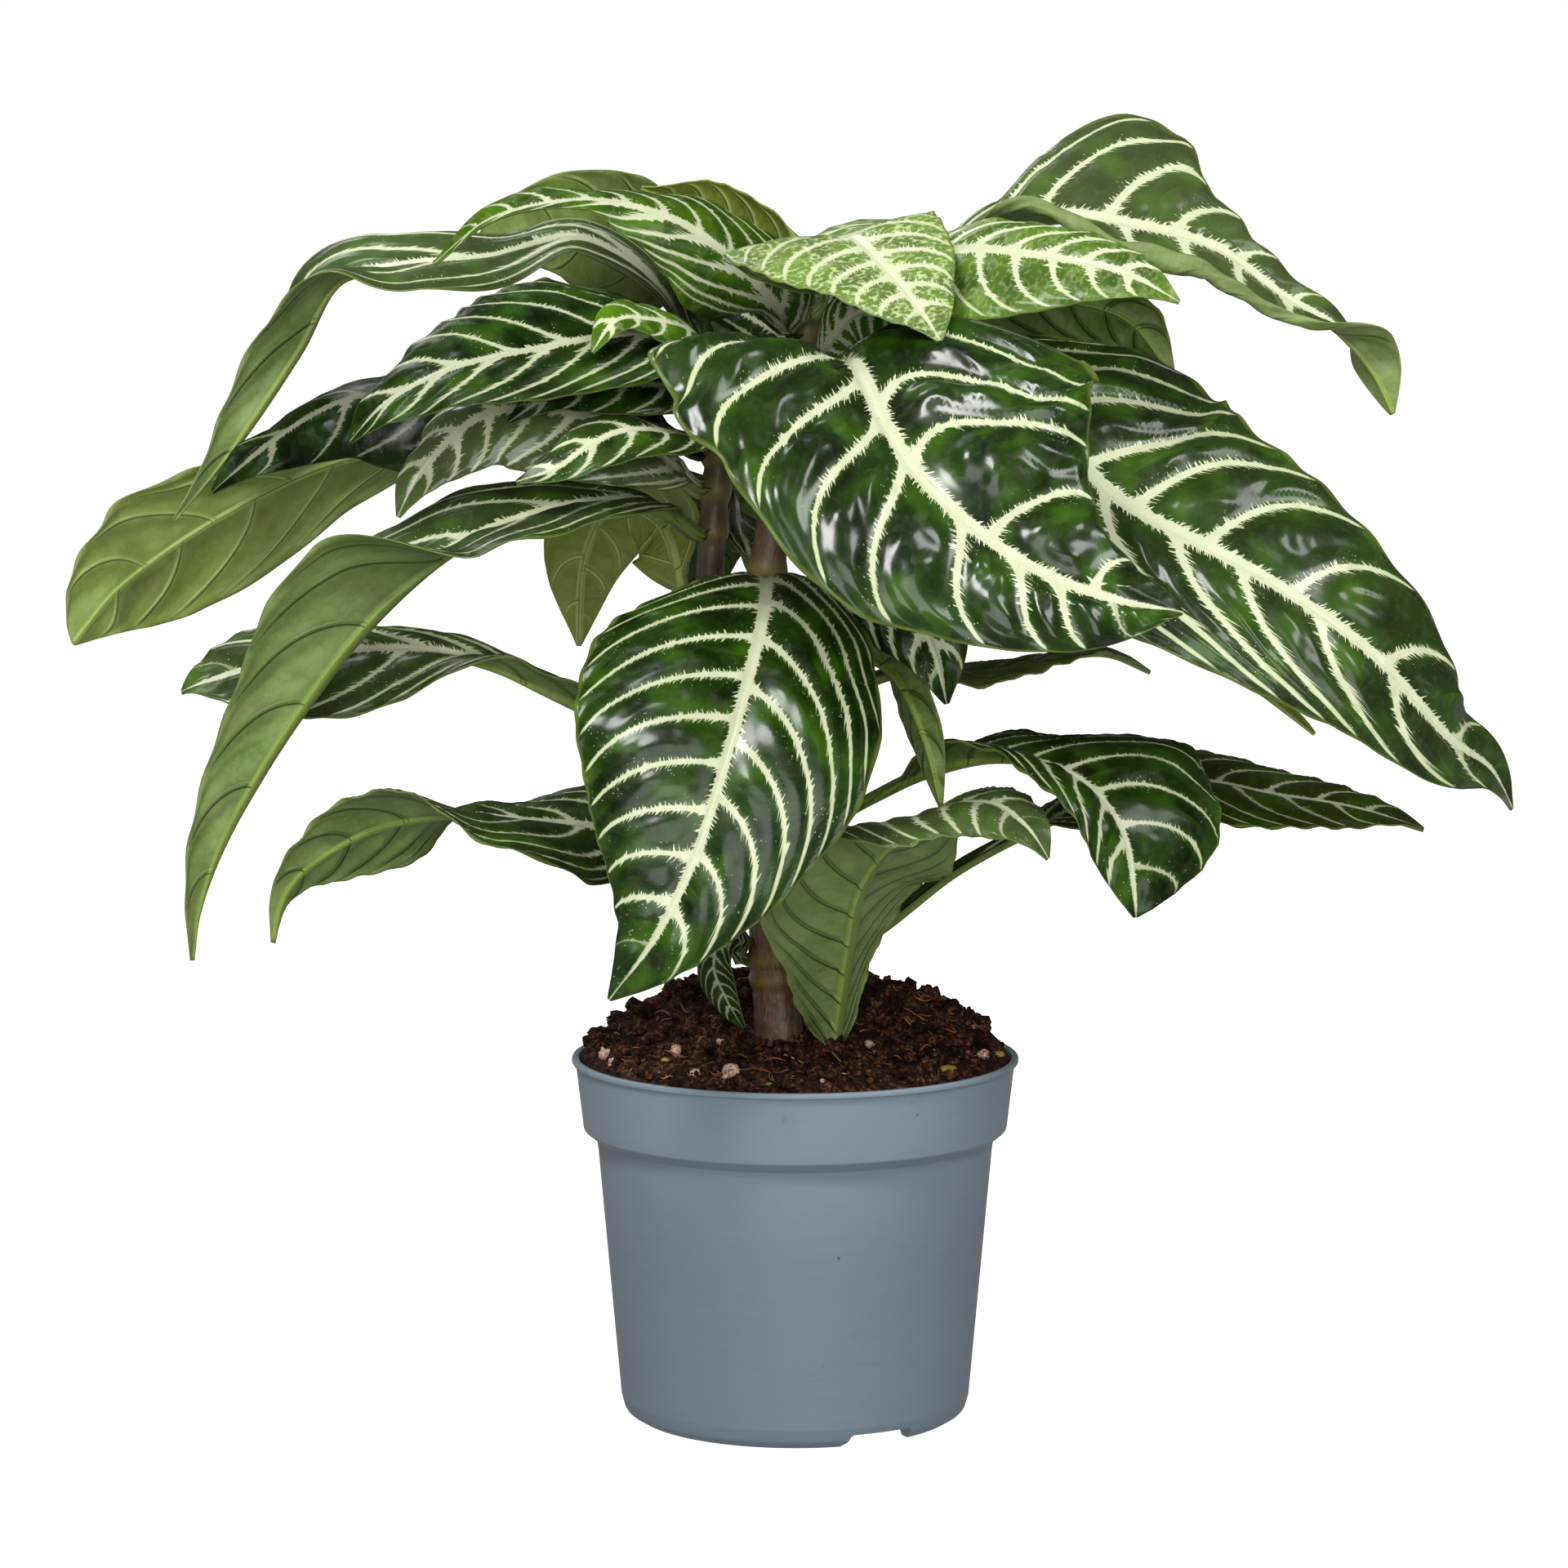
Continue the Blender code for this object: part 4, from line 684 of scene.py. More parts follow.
# %% Bands on the veins
def side_bands(paint, leaf, band):
    """How ivory a point is because of its side vein, and half the width of that vein's band in mm."""
    x, out, along, number, away, drawn, _ = leaf
    reach = abs(x)
    outward = reach - away * 0.45
    frays = paint.cloud(paint.place(outward, number * 9.7, away * 0.15), 0.5, 2.0, 0.5)
    barbs = paint.cloud(paint.place(outward, number * 5.3, away * 0.12), 1.9, 2.0, 0.6)
    flare = (1.0 - reach / 6.5).at_least(0.0) ** 2.0 * band
    width = band * (1.0 - out * 0.62) * (1.0 - along * 0.25) * (0.4 + frays)
    width = (width + flare) * out.fade(0.92, 0.99)
    spikes = (barbs - 0.5).at_least(0.0) * (7.0 - out * 5.0) * (band + 0.2) * out.fade(0.7, 0.9)
    pale = (away - (width + spikes) * drawn).fade(-0.25, 0.2) * drawn * out.fade(0.94, 0.99)
    return pale, width


def midrib_band(paint, leaf, onward, band):
    """How ivory a point is because of the midrib."""
    x, _, along, _, _, _, blade = leaf
    reach = abs(x)
    forward = onward - reach * 0.6
    frays = paint.cloud(paint.place(forward, 0.0, x * 0.12), 0.5, 2.0, 0.6)
    barbs = paint.cloud(paint.place(forward, 7.0, x * 0.12), 1.7, 2.0, 0.6)
    width = (band * 1.35 + 0.3) * (1.1 - along * 0.6) * (0.6 + frays * 0.8)
    width = width + (barbs - 0.5).at_least(0.0) * 7.5 * band * along.fade(0.6, 1.1)
    return (reach - width).fade(-0.25, 0.25) * blade


print("bands on the side veins and on the midrib")

# %% [markdown]
# ## The upper face
# The green between the bands isn't one green: it drifts over a few centimetres, lightens in patches
# between the veins, which are a painted glow of light shining through the blade, and has a thin lighter
# halo beside each band. Leaves in the shade of others are darkened as painted shade. The shine is a
# waxy coat over a duller leaf, and the light catches on small puckers that are too fine to be built
# as points.

# %% The upper face
def leaf_top():
    """The upper face: dark green with frayed ivory bands."""
    paint = Paint("leaf_upper", Coat_Roughness=0.18, Coat_IOR=1.45, IOR=1.4, Specular_IOR_Level=0.12)
    leaf = read_leaf(paint)
    x, out, along, number, away, _, _ = leaf
    band, youth, olive = paint.attribute("look")
    quilt, length, gloss = paint.attribute("relief")
    shade, haze_and_painted_light, _ = paint.attribute("tone")
    onward = along * length
    on_leaf = paint.place(x, onward, 0.0)
    by_vein = paint.place(x, onward, number * 3.1)

    side_band, width = side_bands(paint, leaf, band)
    pale = side_band.at_least(midrib_band(paint, leaf, onward, band))
    pale = pale * (1.0 - paint.cloud(on_leaf, 1.3, 2.0, 0.7).step(0.62, 0.72) * 0.4)
    dots = paint.cells(on_leaf, 0.75).fade(0.10, 0.2) * paint.cloud(on_leaf, 0.09, 1.0).step(0.5, 0.6)
    pale = pale.at_least(dots * (away - width).fade(1.0, 5.0) * out.fade(0.9, 1.0) * 0.7)

    tone = paint.cloud(on_leaf, 0.055, 1.0).step(0.3, 0.7)
    fine = paint.cloud(on_leaf, 0.5, 3.0, 0.6)
    old = paint.mix(DEEP_GREEN, DARK_GREEN, tone)
    # painted glow: lighter green patches between the veins stand in for light shining through the blade
    old = paint.mix(old, PAINTED_GLOW_GREEN, paint.cloud(by_vein, 0.07, 1.0).step(0.45, 0.8) * 0.7)
    old = paint.mix(old, MOTTLE_GREEN, fine.step(0.45, 0.75) * 0.2)
    old = paint.mix(old, HALO_GREEN, (away - width).fade(0.0, 2.2) * out.fade(0.6, 1.0) * 0.3)
    green = paint.mix(old, paint.mix(YOUNG_GREEN, YOUNG_LIGHT_GREEN, tone), youth)
    green = paint.mix(green, OLIVE_GREEN, olive)
    # a paler, greyer green, which on a few leaves is partly painted light
    green = paint.mix(green, HAZE_AND_PAINTED_LIGHT_GREEN, haze_and_painted_light)

    meshes = paint.place(x * 0.8, onward * 1.2, 0.0)
    net = paint.cells(meshes, 0.3)
    green = paint.mix(green, NET_GREEN, net.step(0.62, 0.85) * (youth - 0.3).at_least(0.04) * 0.4)
    green = paint.mix(green, FINE_NET_GREEN, paint.cells(meshes, 0.75).step(0.5, 0.85) * youth * haze_and_painted_light * 3.4)
    green = paint.mix(green, MARGIN_GREEN, out.step(0.965, 0.995) * 0.7)
    ivory = paint.mix(IVORY, CREAM, paint.cloud(on_leaf, 0.12, 2.0))
    ivory = paint.mix(ivory, GREEN_CREAM, out.step(0.45, 1.0) * 0.5)

    grain = paint.cloud(on_leaf, 1.6, 2.0, 0.6)
    puckers = paint.cells(by_vein, 0.13) * quilt * -0.0005 * out.step(0.05, 0.2)
    ridges = paint.cloud(on_leaf, 0.16, 1.0, 0.5) * 0.0009 + net * 0.00015 + grain * 0.00006
    return paint.finish(
        # painted shade: the colour is darkened towards black by the leaf's shade
        Base_Color=paint.mix(PAINTED_SHADE_BLACK, paint.mix(green, ivory, pale), shade),
        Roughness=0.32 + fine * 0.10 + pale * 0.12,
        Coat_Weight=gloss,
        Normal=paint.bump(ridges + puckers, 0.9),
    )


LEAF_TOP = leaf_top()
print(LEAF_TOP.name, "has", len(LEAF_TOP.node_tree.nodes), "nodes")

# %% [markdown]
# ## The lower face
# From below a leaf is paler and matt. The veins show as thin lines with a soft band beside them, which
# on a green leaf is dark, painted shade beside the raised vein, and on an olive one is pale, and the
# midrib is a thick pale rod.

# %% The lower face
UNDER_LENGTH = 200.0


def leaf_under():
    """The lower face: matt pale green, with fine veins and a thick pale midrib."""
    paint = Paint("leaf_lower", IOR=1.4, Specular_IOR_Level=0.4)
    x, out, along, number, away, drawn, _ = read_leaf(paint)
    _, _, olive = paint.attribute("look")
    shade, haze_and_painted_light, _ = paint.attribute("tone")
    on_leaf = paint.place(x, along * 190.0, 0.0)
    fine = paint.cloud(on_leaf, 0.6, 3.0, 0.6)
    green = paint.mix(srgb(86, 110, 44), srgb(116, 138, 72), paint.cloud(on_leaf, 0.06, 2.0).step(0.3, 0.7))
    green = paint.mix(green, srgb(130, 152, 86), fine.step(0.4, 0.7) * 0.3)
    green = paint.mix(green, srgb(128, 140, 44), olive)
    net = paint.cells(paint.place(x * 0.8, along * 1.1 * UNDER_LENGTH, number * 2.0), 0.22)
    green = paint.mix(green, srgb(84, 104, 42), net.step(0.5, 0.9) * 0.3)
    blotch = paint.cloud(paint.place(x, along * UNDER_LENGTH, 4.0), 0.1, 3.0)
    green = paint.mix(green, srgb(92, 96, 52), blotch.step(0.45, 0.7) * 0.45)

    inside = out.fade(0.75, 0.98) * drawn
    line = (away + out * 0.2).fade(0.3, 1.0) * inside
    # painted shade: a dark band beside each raised vein on a green leaf; on an olive leaf the same band is
    # pale
    vein_shade_and_pale_halo = (away - 0.4).fade(0.0, 1.8) * inside * 0.4
    rib = (abs(x) * (1.0 + along * 1.4)).fade(1.8, 3.2)
    paler = olive * 2.0
    green = paint.mix(green, paint.mix(srgb(70, 96, 34), srgb(158, 178, 96), paler), vein_shade_and_pale_halo)
    green = paint.mix(green, paint.mix(srgb(58, 84, 24), srgb(176, 196, 116), paler), line * 0.7)
    green = paint.mix(green, paint.mix(srgb(124, 148, 60), srgb(170, 188, 108), olive), rib)
    # a paler, greyer green, which on a few leaves is partly painted light
    green = paint.mix(green, srgb(170, 184, 132), haze_and_painted_light)
    return paint.finish(
        # painted shade: the colour is darkened towards black by the leaf's shade
        Base_Color=paint.mix(PAINTED_SHADE_BLACK, green, shade),
        Roughness=0.40 + fine * 0.1,
        Normal=paint.bump(line * 0.0009 - net * 0.0004 + fine * 0.0002, 0.8),
    )


LEAF_UNDER = leaf_under()
print(LEAF_UNDER.name, "has", len(LEAF_UNDER.node_tree.nodes), "nodes")

# %% [markdown]
# ## The shape of a leaf
# A blade is a grid of points: rows cross the leaf from one margin to the other, and columns run along
# it. A grid is chosen because every row then knows its place along the leaf and every column its place
# across it, which is what the bands, the bulges and the veins are worked out from. The midrib starts
# on the stem's surface, and a stalk is just a part of the leaf where the blade is very narrow.

# %% Where a leaf grows
def stem_at(name, height):
    """A stem's axis point, direction and radius at a height."""
    points, foot_radius, tip_radius = STEM_GROWS[name]
    path = smooth_path(points, 12)
    index = np.argmax(path[1:, 2] >= height)
    a, b = path[index], path[index + 1]
    point = a + (b - a) * (height - a[2]) / (b[2] - a[2])
    grown = (height - path[0, 2]) / (path[-1, 2] - path[0, 2])
    return point, unit(b - a), foot_radius + (tip_radius - foot_radius) * grown


def leaf_path(leaf):
    """The midrib's curve, starting on the stem's surface."""
    if leaf.stem is None:
        return smooth_path(leaf.rib)
    axis, heading, radius = stem_at(leaf.stem, leaf.height)
    out = np.array(leaf.rib[0]) - axis
    out = unit(out - heading * out.dot(heading))
    start = axis + out * (radius + GAP)
    return smooth_path([start, start + out * 3.0] + leaf.rib)


print("highest leaf on a stem:", max(leaf.height or 0 for leaf in LEAVES.values()), "mm")

# %% How wide and how thick a leaf is
def rib_radius(leaf, shares):
    """Thickness of the stalk and midrib below the blade."""
    return (0.8 + 0.04 * leaf.half) * (1 - shares) ** 0.8 + 0.25


def of_half(pair, side):
    """The left one of a pair for side -1, and the right one for side 1."""
    return pair[0 if side < 0 else 1]


def half_widths(leaf, shares, side):
    """Distance from the midrib to the left (-1) or right (1) margin."""
    wing = rib_radius(leaf, 0.0) + 1.0
    blade = np.clip((shares - leaf.stalk) / (1 - leaf.stalk), 0.0, 1.0)
    peak = math.log(0.5) / math.log(leaf.widest)
    shape = np.clip(np.sin(np.pi * blade ** peak), 0.0, 1.0) ** 0.95
    full = leaf.half * between(of_half(leaf.reach, side), shares)
    return full * shape + (wing * (1 - blade) + 0.8 * blade) * (1 - shape)


front = LEAVES["leaf_front_centre"]
print("widest half of the front leaf:", round(half_widths(front, np.linspace(0, 1, 50), 1).max(), 1), "mm")

# %% [markdown]
# ## Side veins
# Side veins leave the midrib at a wide angle and sweep towards the tip, the more so near the margin. To
# draw them, each point is led back along that sweep to the place on the midrib where its vein began.
# That place is then counted in veins, so that whole numbers lie on a vein and halves lie between two.

# %% Side veins
def soft_step(values, low, high):
    """0 below low, 1 above high, and a smooth rise between."""
    u = np.clip((values - low) / (high - low), 0.0, 1.0)
    return u * u * (3 - 2 * u)


def vein_start(leaf, look, shares, out, side, width):
    """Where the side vein that crosses each point leaves the midrib, as a share of the blade."""
    blade = (shares - leaf.stalk) / (1 - leaf.stalk)
    sweep = of_half(look.sweep, side)
    sweep = between(sweep if isinstance(sweep, tuple) else (sweep,), shares)
    widest = width.argmax()
    taper = np.where(np.arange(len(width)) > widest, width / width[widest], 1.0)
    lean = between(of_half(look.lean, side), shares)[:, None] * (1.0 - np.exp(-5.0 * out))
    return blade[:, None] - lean - (sweep * taper)[:, None] * (0.05 * out + 0.09 * out ** 2 + 0.10 * out ** 4)


def vein_number(veins, leaves_at, dice):
    """Counts the side veins: whole numbers lie on a vein, and halves between two."""
    turns = 12 * dice.randint(1, 9)
    if not isinstance(veins, tuple):
        return leaves_at * veins / 0.9 + dice.random() + turns
    starts = np.array((veins[0] - 1.0,) + veins + (veins[-1] + 1.0,))
    order = np.arange(len(starts), dtype=float)
    order[0] = 1.0 - 1.0 / (starts[2] - starts[1])
    order[-1] = order[-2] + 1.0 / (starts[-2] - starts[-3])
    return np.interp(leaves_at, starts, order) + turns


print("side veins of the front leaf, left and right:", LOOKS["leaf_front_centre"].veins)

# %% [markdown]
# ## Relief
# A blade grows faster than its veins, so it bulges up between them, and the largest bulges fold and
# blister. A sine of the vein number gives the bulges, and a second one, bent a little, the folds beside
# each vein. Blisters are round bumps around scattered centres. The margin waves by itself, and also
# dips where each vein reaches it.

# %% Relief
BLISTER_SIZE = 13.0
RIPPLE_WAVES = 4


def ripple(values, dice):
    """An uneven wave between about -1 and 1."""
    total = np.zeros_like(values)
    for wave in range(RIPPLE_WAVES):
        rate = dice.uniform(0.7, 1.3) * (wave + 1) * 1.7
        total += np.sin(2 * math.pi * (values * rate + dice.random())) / (wave + 1) ** 0.7
    return total / 2.2


def blisters(x, y, dice):
    """Rounded bumps of about one size, packed side by side with creases between them, from 0 to 1."""
    here = np.stack((x / BLISTER_SIZE, y / BLISTER_SIZE), axis=-1)
    cell = np.floor(here)
    shift = np.array((dice.uniform(0, 99), dice.uniform(0, 99)))
    nearest = np.full(x.shape, 9.0)
    for step in ((i, j) for i in (-1, 0, 1) for j in (-1, 0, 1)):
        other = cell + step
        mark = np.sin((other + shift) @ np.array(((12.9898, 39.346), (78.233, 11.135)))) * 43758.5453
        centre = other + 0.5 + 0.7 * (mark - np.floor(mark) - 0.5)
        nearest = np.minimum(nearest, np.linalg.norm(here - centre, axis=-1))
    return np.clip(1.0 - (nearest / 0.72) ** 2, 0.0, 1.0)


def blade_relief(look, x, out, onward, phase, shares, dice):
    """How far each point of a half stands proud of the smooth blade, in mm."""
    bulge = np.sin(np.pi * phase) ** 2 * soft_step(out, 0.05, 0.3) * (1 - soft_step(out, 0.8, 1.0))
    blister = blisters(x, onward, dice) * soft_step(bulge, 0.0, 0.6)
    bend = 0.16 * np.sin(x / 5.2 + 3.0 * np.sin(onward / 17.0)) + 0.1 * np.sin(x / 2.9 + onward / 7.0)
    fold = np.sin(2 * np.pi * (phase + bend)) ** 2 * soft_step(bulge, 0.1, 0.7)
    quilt = look.quilt * (bulge * 0.7 + blister * 0.3 + fold * 0.3 - 0.5)
    wave = look.wave * (out ** 2 * ripple(shares, dice)[:, None] + 0.5 * out ** 3 * np.cos(2 * np.pi * phase))
    return quilt + wave


print("blisters are about", BLISTER_SIZE, "mm across")

# %% [markdown]
# ## Half a blade
# Each half leaves the midrib at its own lift, rolls down towards the margin, and on some leaves curls
# up at the very edge. Its cross-section is followed step by step outwards, so that the blade keeps its
# width however it bends. The underside lies a leaf's thickness below, with a half-round midrib.

# %% Half a blade
LEAF_THICK = 1.2
RIB_COLUMNS = (0.0, 0.3, 0.62, 0.9, 1.12, 1.5)
STALK_LIFT = 25.0
CURL_FROM, CURL_TO = 0.76, 0.9


def arc_across(leaf, look, side, shares, out, opened):
    """How far over and up each point of a half lies, in shares of its width, and its slope there."""
    lift = between(of_half((leaf.left, leaf.right), side), shares) * opened + STALK_LIFT * (1 - opened)
    roll = of_half(leaf.roll, side) * opened
    curl = between(of_half(look.curl, side), shares) * opened
    lift, roll, curl = (np.radians(angle)[:, None] for angle in (lift, roll, curl))
    slope = lift - roll * out + curl * soft_step(out, CURL_FROM, CURL_TO)
    stride = np.diff(out, axis=1, prepend=0.0)
    middle = (slope + np.roll(slope, 1, axis=1)) / 2
    over = np.cumsum(np.cos(middle) * stride, axis=1)
    up = np.cumsum(np.sin(middle) * stride, axis=1)
    return over, up, np.where(out > 0, slope, 0.0)


def vein_pitch(base, phase):
    """The distance in mm from one side vein to the next, at each point of a half."""
    across = np.linalg.norm(np.gradient(base, axis=1), axis=2)
    along = np.linalg.norm(np.gradient(base, axis=0), axis=2)
    rise = np.hypot(np.gradient(phase, axis=1) / np.maximum(across, 0.05),
                    np.gradient(phase, axis=0) / np.maximum(along, 0.05))
    return 1.0 / np.maximum(rise, 0.02)


def half_blade(leaf, look, side, path, rows, columns, dice):
    """One half of a blade, from the midrib to a margin: points above and below, and its numbers."""
    shares = np.linspace(0.0, 1.0, rows)
    point, heading, length = walk(path, shares)
    face = between(unit(np.array(leaf.face, dtype=float)), shares)
    face = unit(face - heading * (face * heading).sum(axis=1, keepdims=True))
    right = np.cross(heading, face)
    rib = rib_radius(leaf, shares)
    width = half_widths(leaf, shares, side)
    opened = np.clip((width - rib_radius(leaf, 0.0) - 1.0) / 8.0, 0.0, 1.0)

    inner = np.array(RIB_COLUMNS)[None, :] * np.minimum(rib / width, 0.5)[:, None]
    spread = np.linspace(0.0, 1.0, columns + 1)[None, 1:]
    out = np.concatenate((inner, inner[:, -1:] + (1 - inner[:, -1:]) * spread), axis=1)
    x = out * width[:, None]
    over, up, slope = arc_across(leaf, look, side, shares, out, opened)
    leaves_at = vein_start(leaf, look, shares, out, side, width)
    phase = vein_number(of_half(look.veins, side), leaves_at, dice)
    onward = leaves_at * length * (1 - leaf.stalk)
    relief = blade_relief(look, x, out, onward, phase, shares, dice) * opened[:, None]

    rib = rib[:, None]
    groove = 0.3 * rib * np.exp(-(x / (0.8 * rib)) ** 2)
    keel = np.sqrt(np.clip(rib ** 2 - x ** 2, 0.0, None))
    thick = LEAF_THICK * (0.5 - 0.3 * out)
    normal = face[:, None] * np.cos(slope)[..., None] - right[:, None] * (side * np.sin(slope))[..., None]
    base = (point[:, None] + right[:, None] * (side * width[:, None] * over)[..., None]
            + face[:, None] * (width[:, None] * up)[..., None])
    above = base + normal * (relief + thick - groove)[..., None]
    below = base + normal * (relief - thick - keel)[..., None]

    band = look.band * np.clip(width / (0.4 * leaf.half), 0.3, 1.0)
    # painted shade along the leaf, from its look
    shade = between(look.shade, shares)
    numbers = {
        "leaf": (side * x, out, shares[:, None]),
        "vein": (phase, vein_pitch(base, phase), leaves_at),
        "look": (band[:, None], look.youth, look.olive),
        "relief": (look.quilt, length, look.gloss),
        # tone carries the painted shade, and the paleness that on a few leaves is painted light, to the
        # shader
        "tone": (shade[:, None], look.haze_and_painted_light, 0.0),
    }
    return above, below, {key: np.stack([np.broadcast_to(part, x.shape) for part in parts], axis=-1)
                          for key, parts in numbers.items()}


print("columns of points from the midrib, shares of its thickness:", RIB_COLUMNS)

# %% [markdown]
# ## A whole leaf
# The two halves are joined into rings that run over the top from the left margin to the right one and
# back below, and the two ends are closed, so that the leaf is one watertight skin. Leaves in front get
# more points than those at the back, because their bulges are seen from close by.

# %% Whole leaves
BLADE_COLUMNS = 22
ROW_STEP = 1.9
FINE_BLADE_COLUMNS = 34
FINE_ROW_STEP = 1.3
BACK_ROW_STEP = 3.6
LEAST_ROWS = 30
FINE_LEAVES = ("leaf_front_centre", "leaf_front_right", "leaf_right_large", "leaf_top_right")


def around(left, right):
    """Rows around a leaf, from the left margin over the top and back below, from both halves."""
    top, under = (np.concatenate((left[k][:, :0:-1], right[k]), axis=1) for k in (0, 1))
    return np.concatenate((top, under[:, ::-1]), axis=1)


def end_caps(rows, count):
    """Faces that close the first and the last ring of a leaf, from the upper face to the lower."""
    faces = []
    for row, order in ((0, 1), (rows - 1, -1)):
        for i in range(count // 2 - 1):
            a = row * count + i
            b = row * count + count - 1 - i
            faces.append((a, b, b - 1, a + 1)[::order])
    return faces


def make_leaf(name):
    """A whole leaf: both halves, each seen from above and from below, as one closed skin."""
    leaf = LEAVES[name]
    look = LOOKS.get(name, Look())
    dice = random.Random(name)
    path = leaf_path(leaf)
    length = np.linalg.norm(np.diff(path, axis=0), axis=1).sum()
    step = BACK_ROW_STEP if name.startswith("leaf_back") else ROW_STEP
    columns = BLADE_COLUMNS
    if name in FINE_LEAVES:
        step, columns = FINE_ROW_STEP, FINE_BLADE_COLUMNS
    rows = max(int(length / step), LEAST_ROWS)
    *left, left_numbers = half_blade(leaf, look, -1, path, rows, columns, dice)
    *right, right_numbers = half_blade(leaf, look, 1, path, rows, columns, dice)
    points = around(left, right)
    numbers = {key: around([left_numbers[key]] * 2, [right_numbers[key]] * 2) for key in left_numbers}

    count = points.shape[1]
    half = count // 2
    caps = end_caps(rows, count)
    faces = ring_faces(rows, count) + caps
    slots = ([0] * (half - 1) + [1] * (half + 1)) * (rows - 1) + [1] * len(caps)
    return make_piece(name, points.reshape(-1, 3), faces, (name,), (LEAF_TOP, LEAF_UNDER),
                      slots, numbers)


leaf_faces = sum(len(make_leaf(name).data.polygons) for name in LEAVES)
print("four-sided faces in the leaves:", leaf_faces)

# %% [markdown]
# ## The stems
# Three stems carry the leaves. A zebra plant's stem is brown-purple and woody low down and greener
# higher up. It swells a little at each node, where a pair of leaves grew, and old nodes keep a scar
# around them. So the tube's radius gets a bump at each height where a leaf grows.

# %% Stems
STEM_SIDES = 32
STEM_ROW_STEP = 1.2
NODE_SWELL = 0.9
NODE_REACH = 3.2
SCAR_BELOW = 3.4
SCAR_REACH = 0.8
SCAR_DEPTH = 0.4


def bark():
    """Stem skin: brown-purple, greener with height and at the nodes, darker high up inside the canopy as
    painted shade, with fine lengthwise streaks.
    """
    paint = Paint("stem_skin", Coat_Weight=0.5, Coat_Roughness=0.4, IOR=1.45)
    turn, height, swelling = paint.attribute("stem")
    grain = paint.cloud(paint.place(turn * 9.0, height * 0.25, 0.0), 1.2, 4.0, 0.6)
    spots = paint.cloud(paint.place(turn * 14.0, height * 0.5, 5.0), 1.0, 2.0, 0.6)
    brown = paint.mix(srgb(66, 38, 26), srgb(120, 86, 68), grain.step(0.3, 0.7))
    green = paint.mix(srgb(82, 76, 34), srgb(118, 108, 58), grain.step(0.3, 0.7))
    skin = paint.mix(brown, green, (height * 0.01 - 1.85).at_least(0.0).at_most(0.45))
    # painted shade: the skin darkens towards the top, where the leaves of the canopy shade it
    skin = paint.mix(skin, srgb(46, 30, 24), (height * 0.012 - 2.6).at_least(0.0).at_most(0.6))
    skin = paint.mix(skin, srgb(118, 106, 40), swelling * 0.7)
    skin = paint.mix(skin, srgb(58, 42, 34), spots.step(0.62, 0.72) * 0.6)
    scars = grain * 0.0006 + spots * 0.0003
    return paint.finish(Base_Color=skin, Roughness=0.42 + grain * 0.2, Normal=paint.bump(scars, 0.7))


BARK = bark()


def make_stem(name):
    """A round tapering stem with a swelling and a scar at each node, and a blunt bud on top."""
    knots, foot_radius, tip_radius = STEM_GROWS[name]
    path = smooth_path(knots)
    rows = int(np.linalg.norm(np.diff(path, axis=0), axis=1).sum() / STEM_ROW_STEP)
    shares = np.linspace(0.0, 1.0, rows)
    centre, heading, length = walk(path, shares)
    nodes = np.array([leaf.height for leaf in LEAVES.values() if leaf.stem == name])
    swelling = np.exp(-((centre[:, 2:] - nodes[None]) / NODE_REACH) ** 2).max(axis=1)
    scar = np.exp(-((centre[:, 2:] - nodes[None] + SCAR_BELOW) / SCAR_REACH) ** 2).max(axis=1)
    radius = foot_radius + (tip_radius - foot_radius) * shares
    radius = radius + NODE_SWELL * swelling - SCAR_DEPTH * scar
    radius *= np.sqrt(np.clip((1.0 - shares) * length / tip_radius, 0.02, 1.0))
    across = unit(np.cross(heading, (0.0, 1.0, 0.0)))
    other = np.cross(heading, across)
    turn = np.linspace(0.0, 2 * math.pi, STEM_SIDES, endpoint=False)
    ridge = 1.0 + 0.035 * np.sin(4 * turn[None] + 0.8)
    ridge = ridge + 0.02 * np.sin(7 * turn[None] + shares[:, None] * 9)
    out = across[:, None] * np.cos(turn)[None, :, None] + other[:, None] * np.sin(turn)[None, :, None]
    points = centre[:, None] + out * (radius[:, None] * ridge)[..., None]
    faces = [face[::-1] for face in ring_faces(rows, STEM_SIDES)]
    top = (rows - 1) * STEM_SIDES
    faces += [tuple(range(STEM_SIDES)), tuple(range(top, top + STEM_SIDES))[::-1]]
    numbers = np.stack(np.broadcast_arrays(np.cos(turn)[None], centre[:, 2:], swelling[:, None]), axis=-1)
    return make_piece(name, points.reshape(-1, 3), faces, (name,), (BARK,), None,
                      {"stem": numbers})


for stem_name in STEM_GROWS:
    print(stem_name, "rows of points:", len(make_stem(stem_name).data.vertices) // STEM_SIDES)

# %% [markdown]
# ## The pot
# A nursery pot is one thin moulded shell, so it is an outline turned once around. The outline is a
# list of corners, each with its own rounding, and the roundings are worked out as arcs. The holes in
# the floor and the notches in the foot are then cut out of the turned shell. A lathe of points is used
# and not a Screw modifier, because the cut needs the shell as plain faces in any case.

# %% Sizes of the pot
RIM_RADIUS = 70.0
POT_HEIGHT = 114.0
LIP_HEIGHT = 1.8
BAND_TOP_RADIUS = 68.8
BAND_FOOT_RADIUS = 66.4
BAND_FOOT = 91.5
SHOULDER = 87.5
SHOULDER_RADIUS = 61.9
HEEL = 6.5
HEEL_RADIUS = 54.8
FOOT_RADIUS = 50.5
FOOT_INNER_RADIUS = 46.5
WALL = 1.5
FLOOR_UNDERSIDE = 3.6
FLOOR_TOP = 5.2
CENTRE_HOLE_RADIUS = 5.0
DRAIN_HOLES = 6
DRAIN_HOLE_RADIUS = 4.0
DRAIN_RING_RADIUS = 33.0
NOTCHES = 2
NOTCH_WIDTH = 22.0
NOTCH_HEIGHT = 4.4
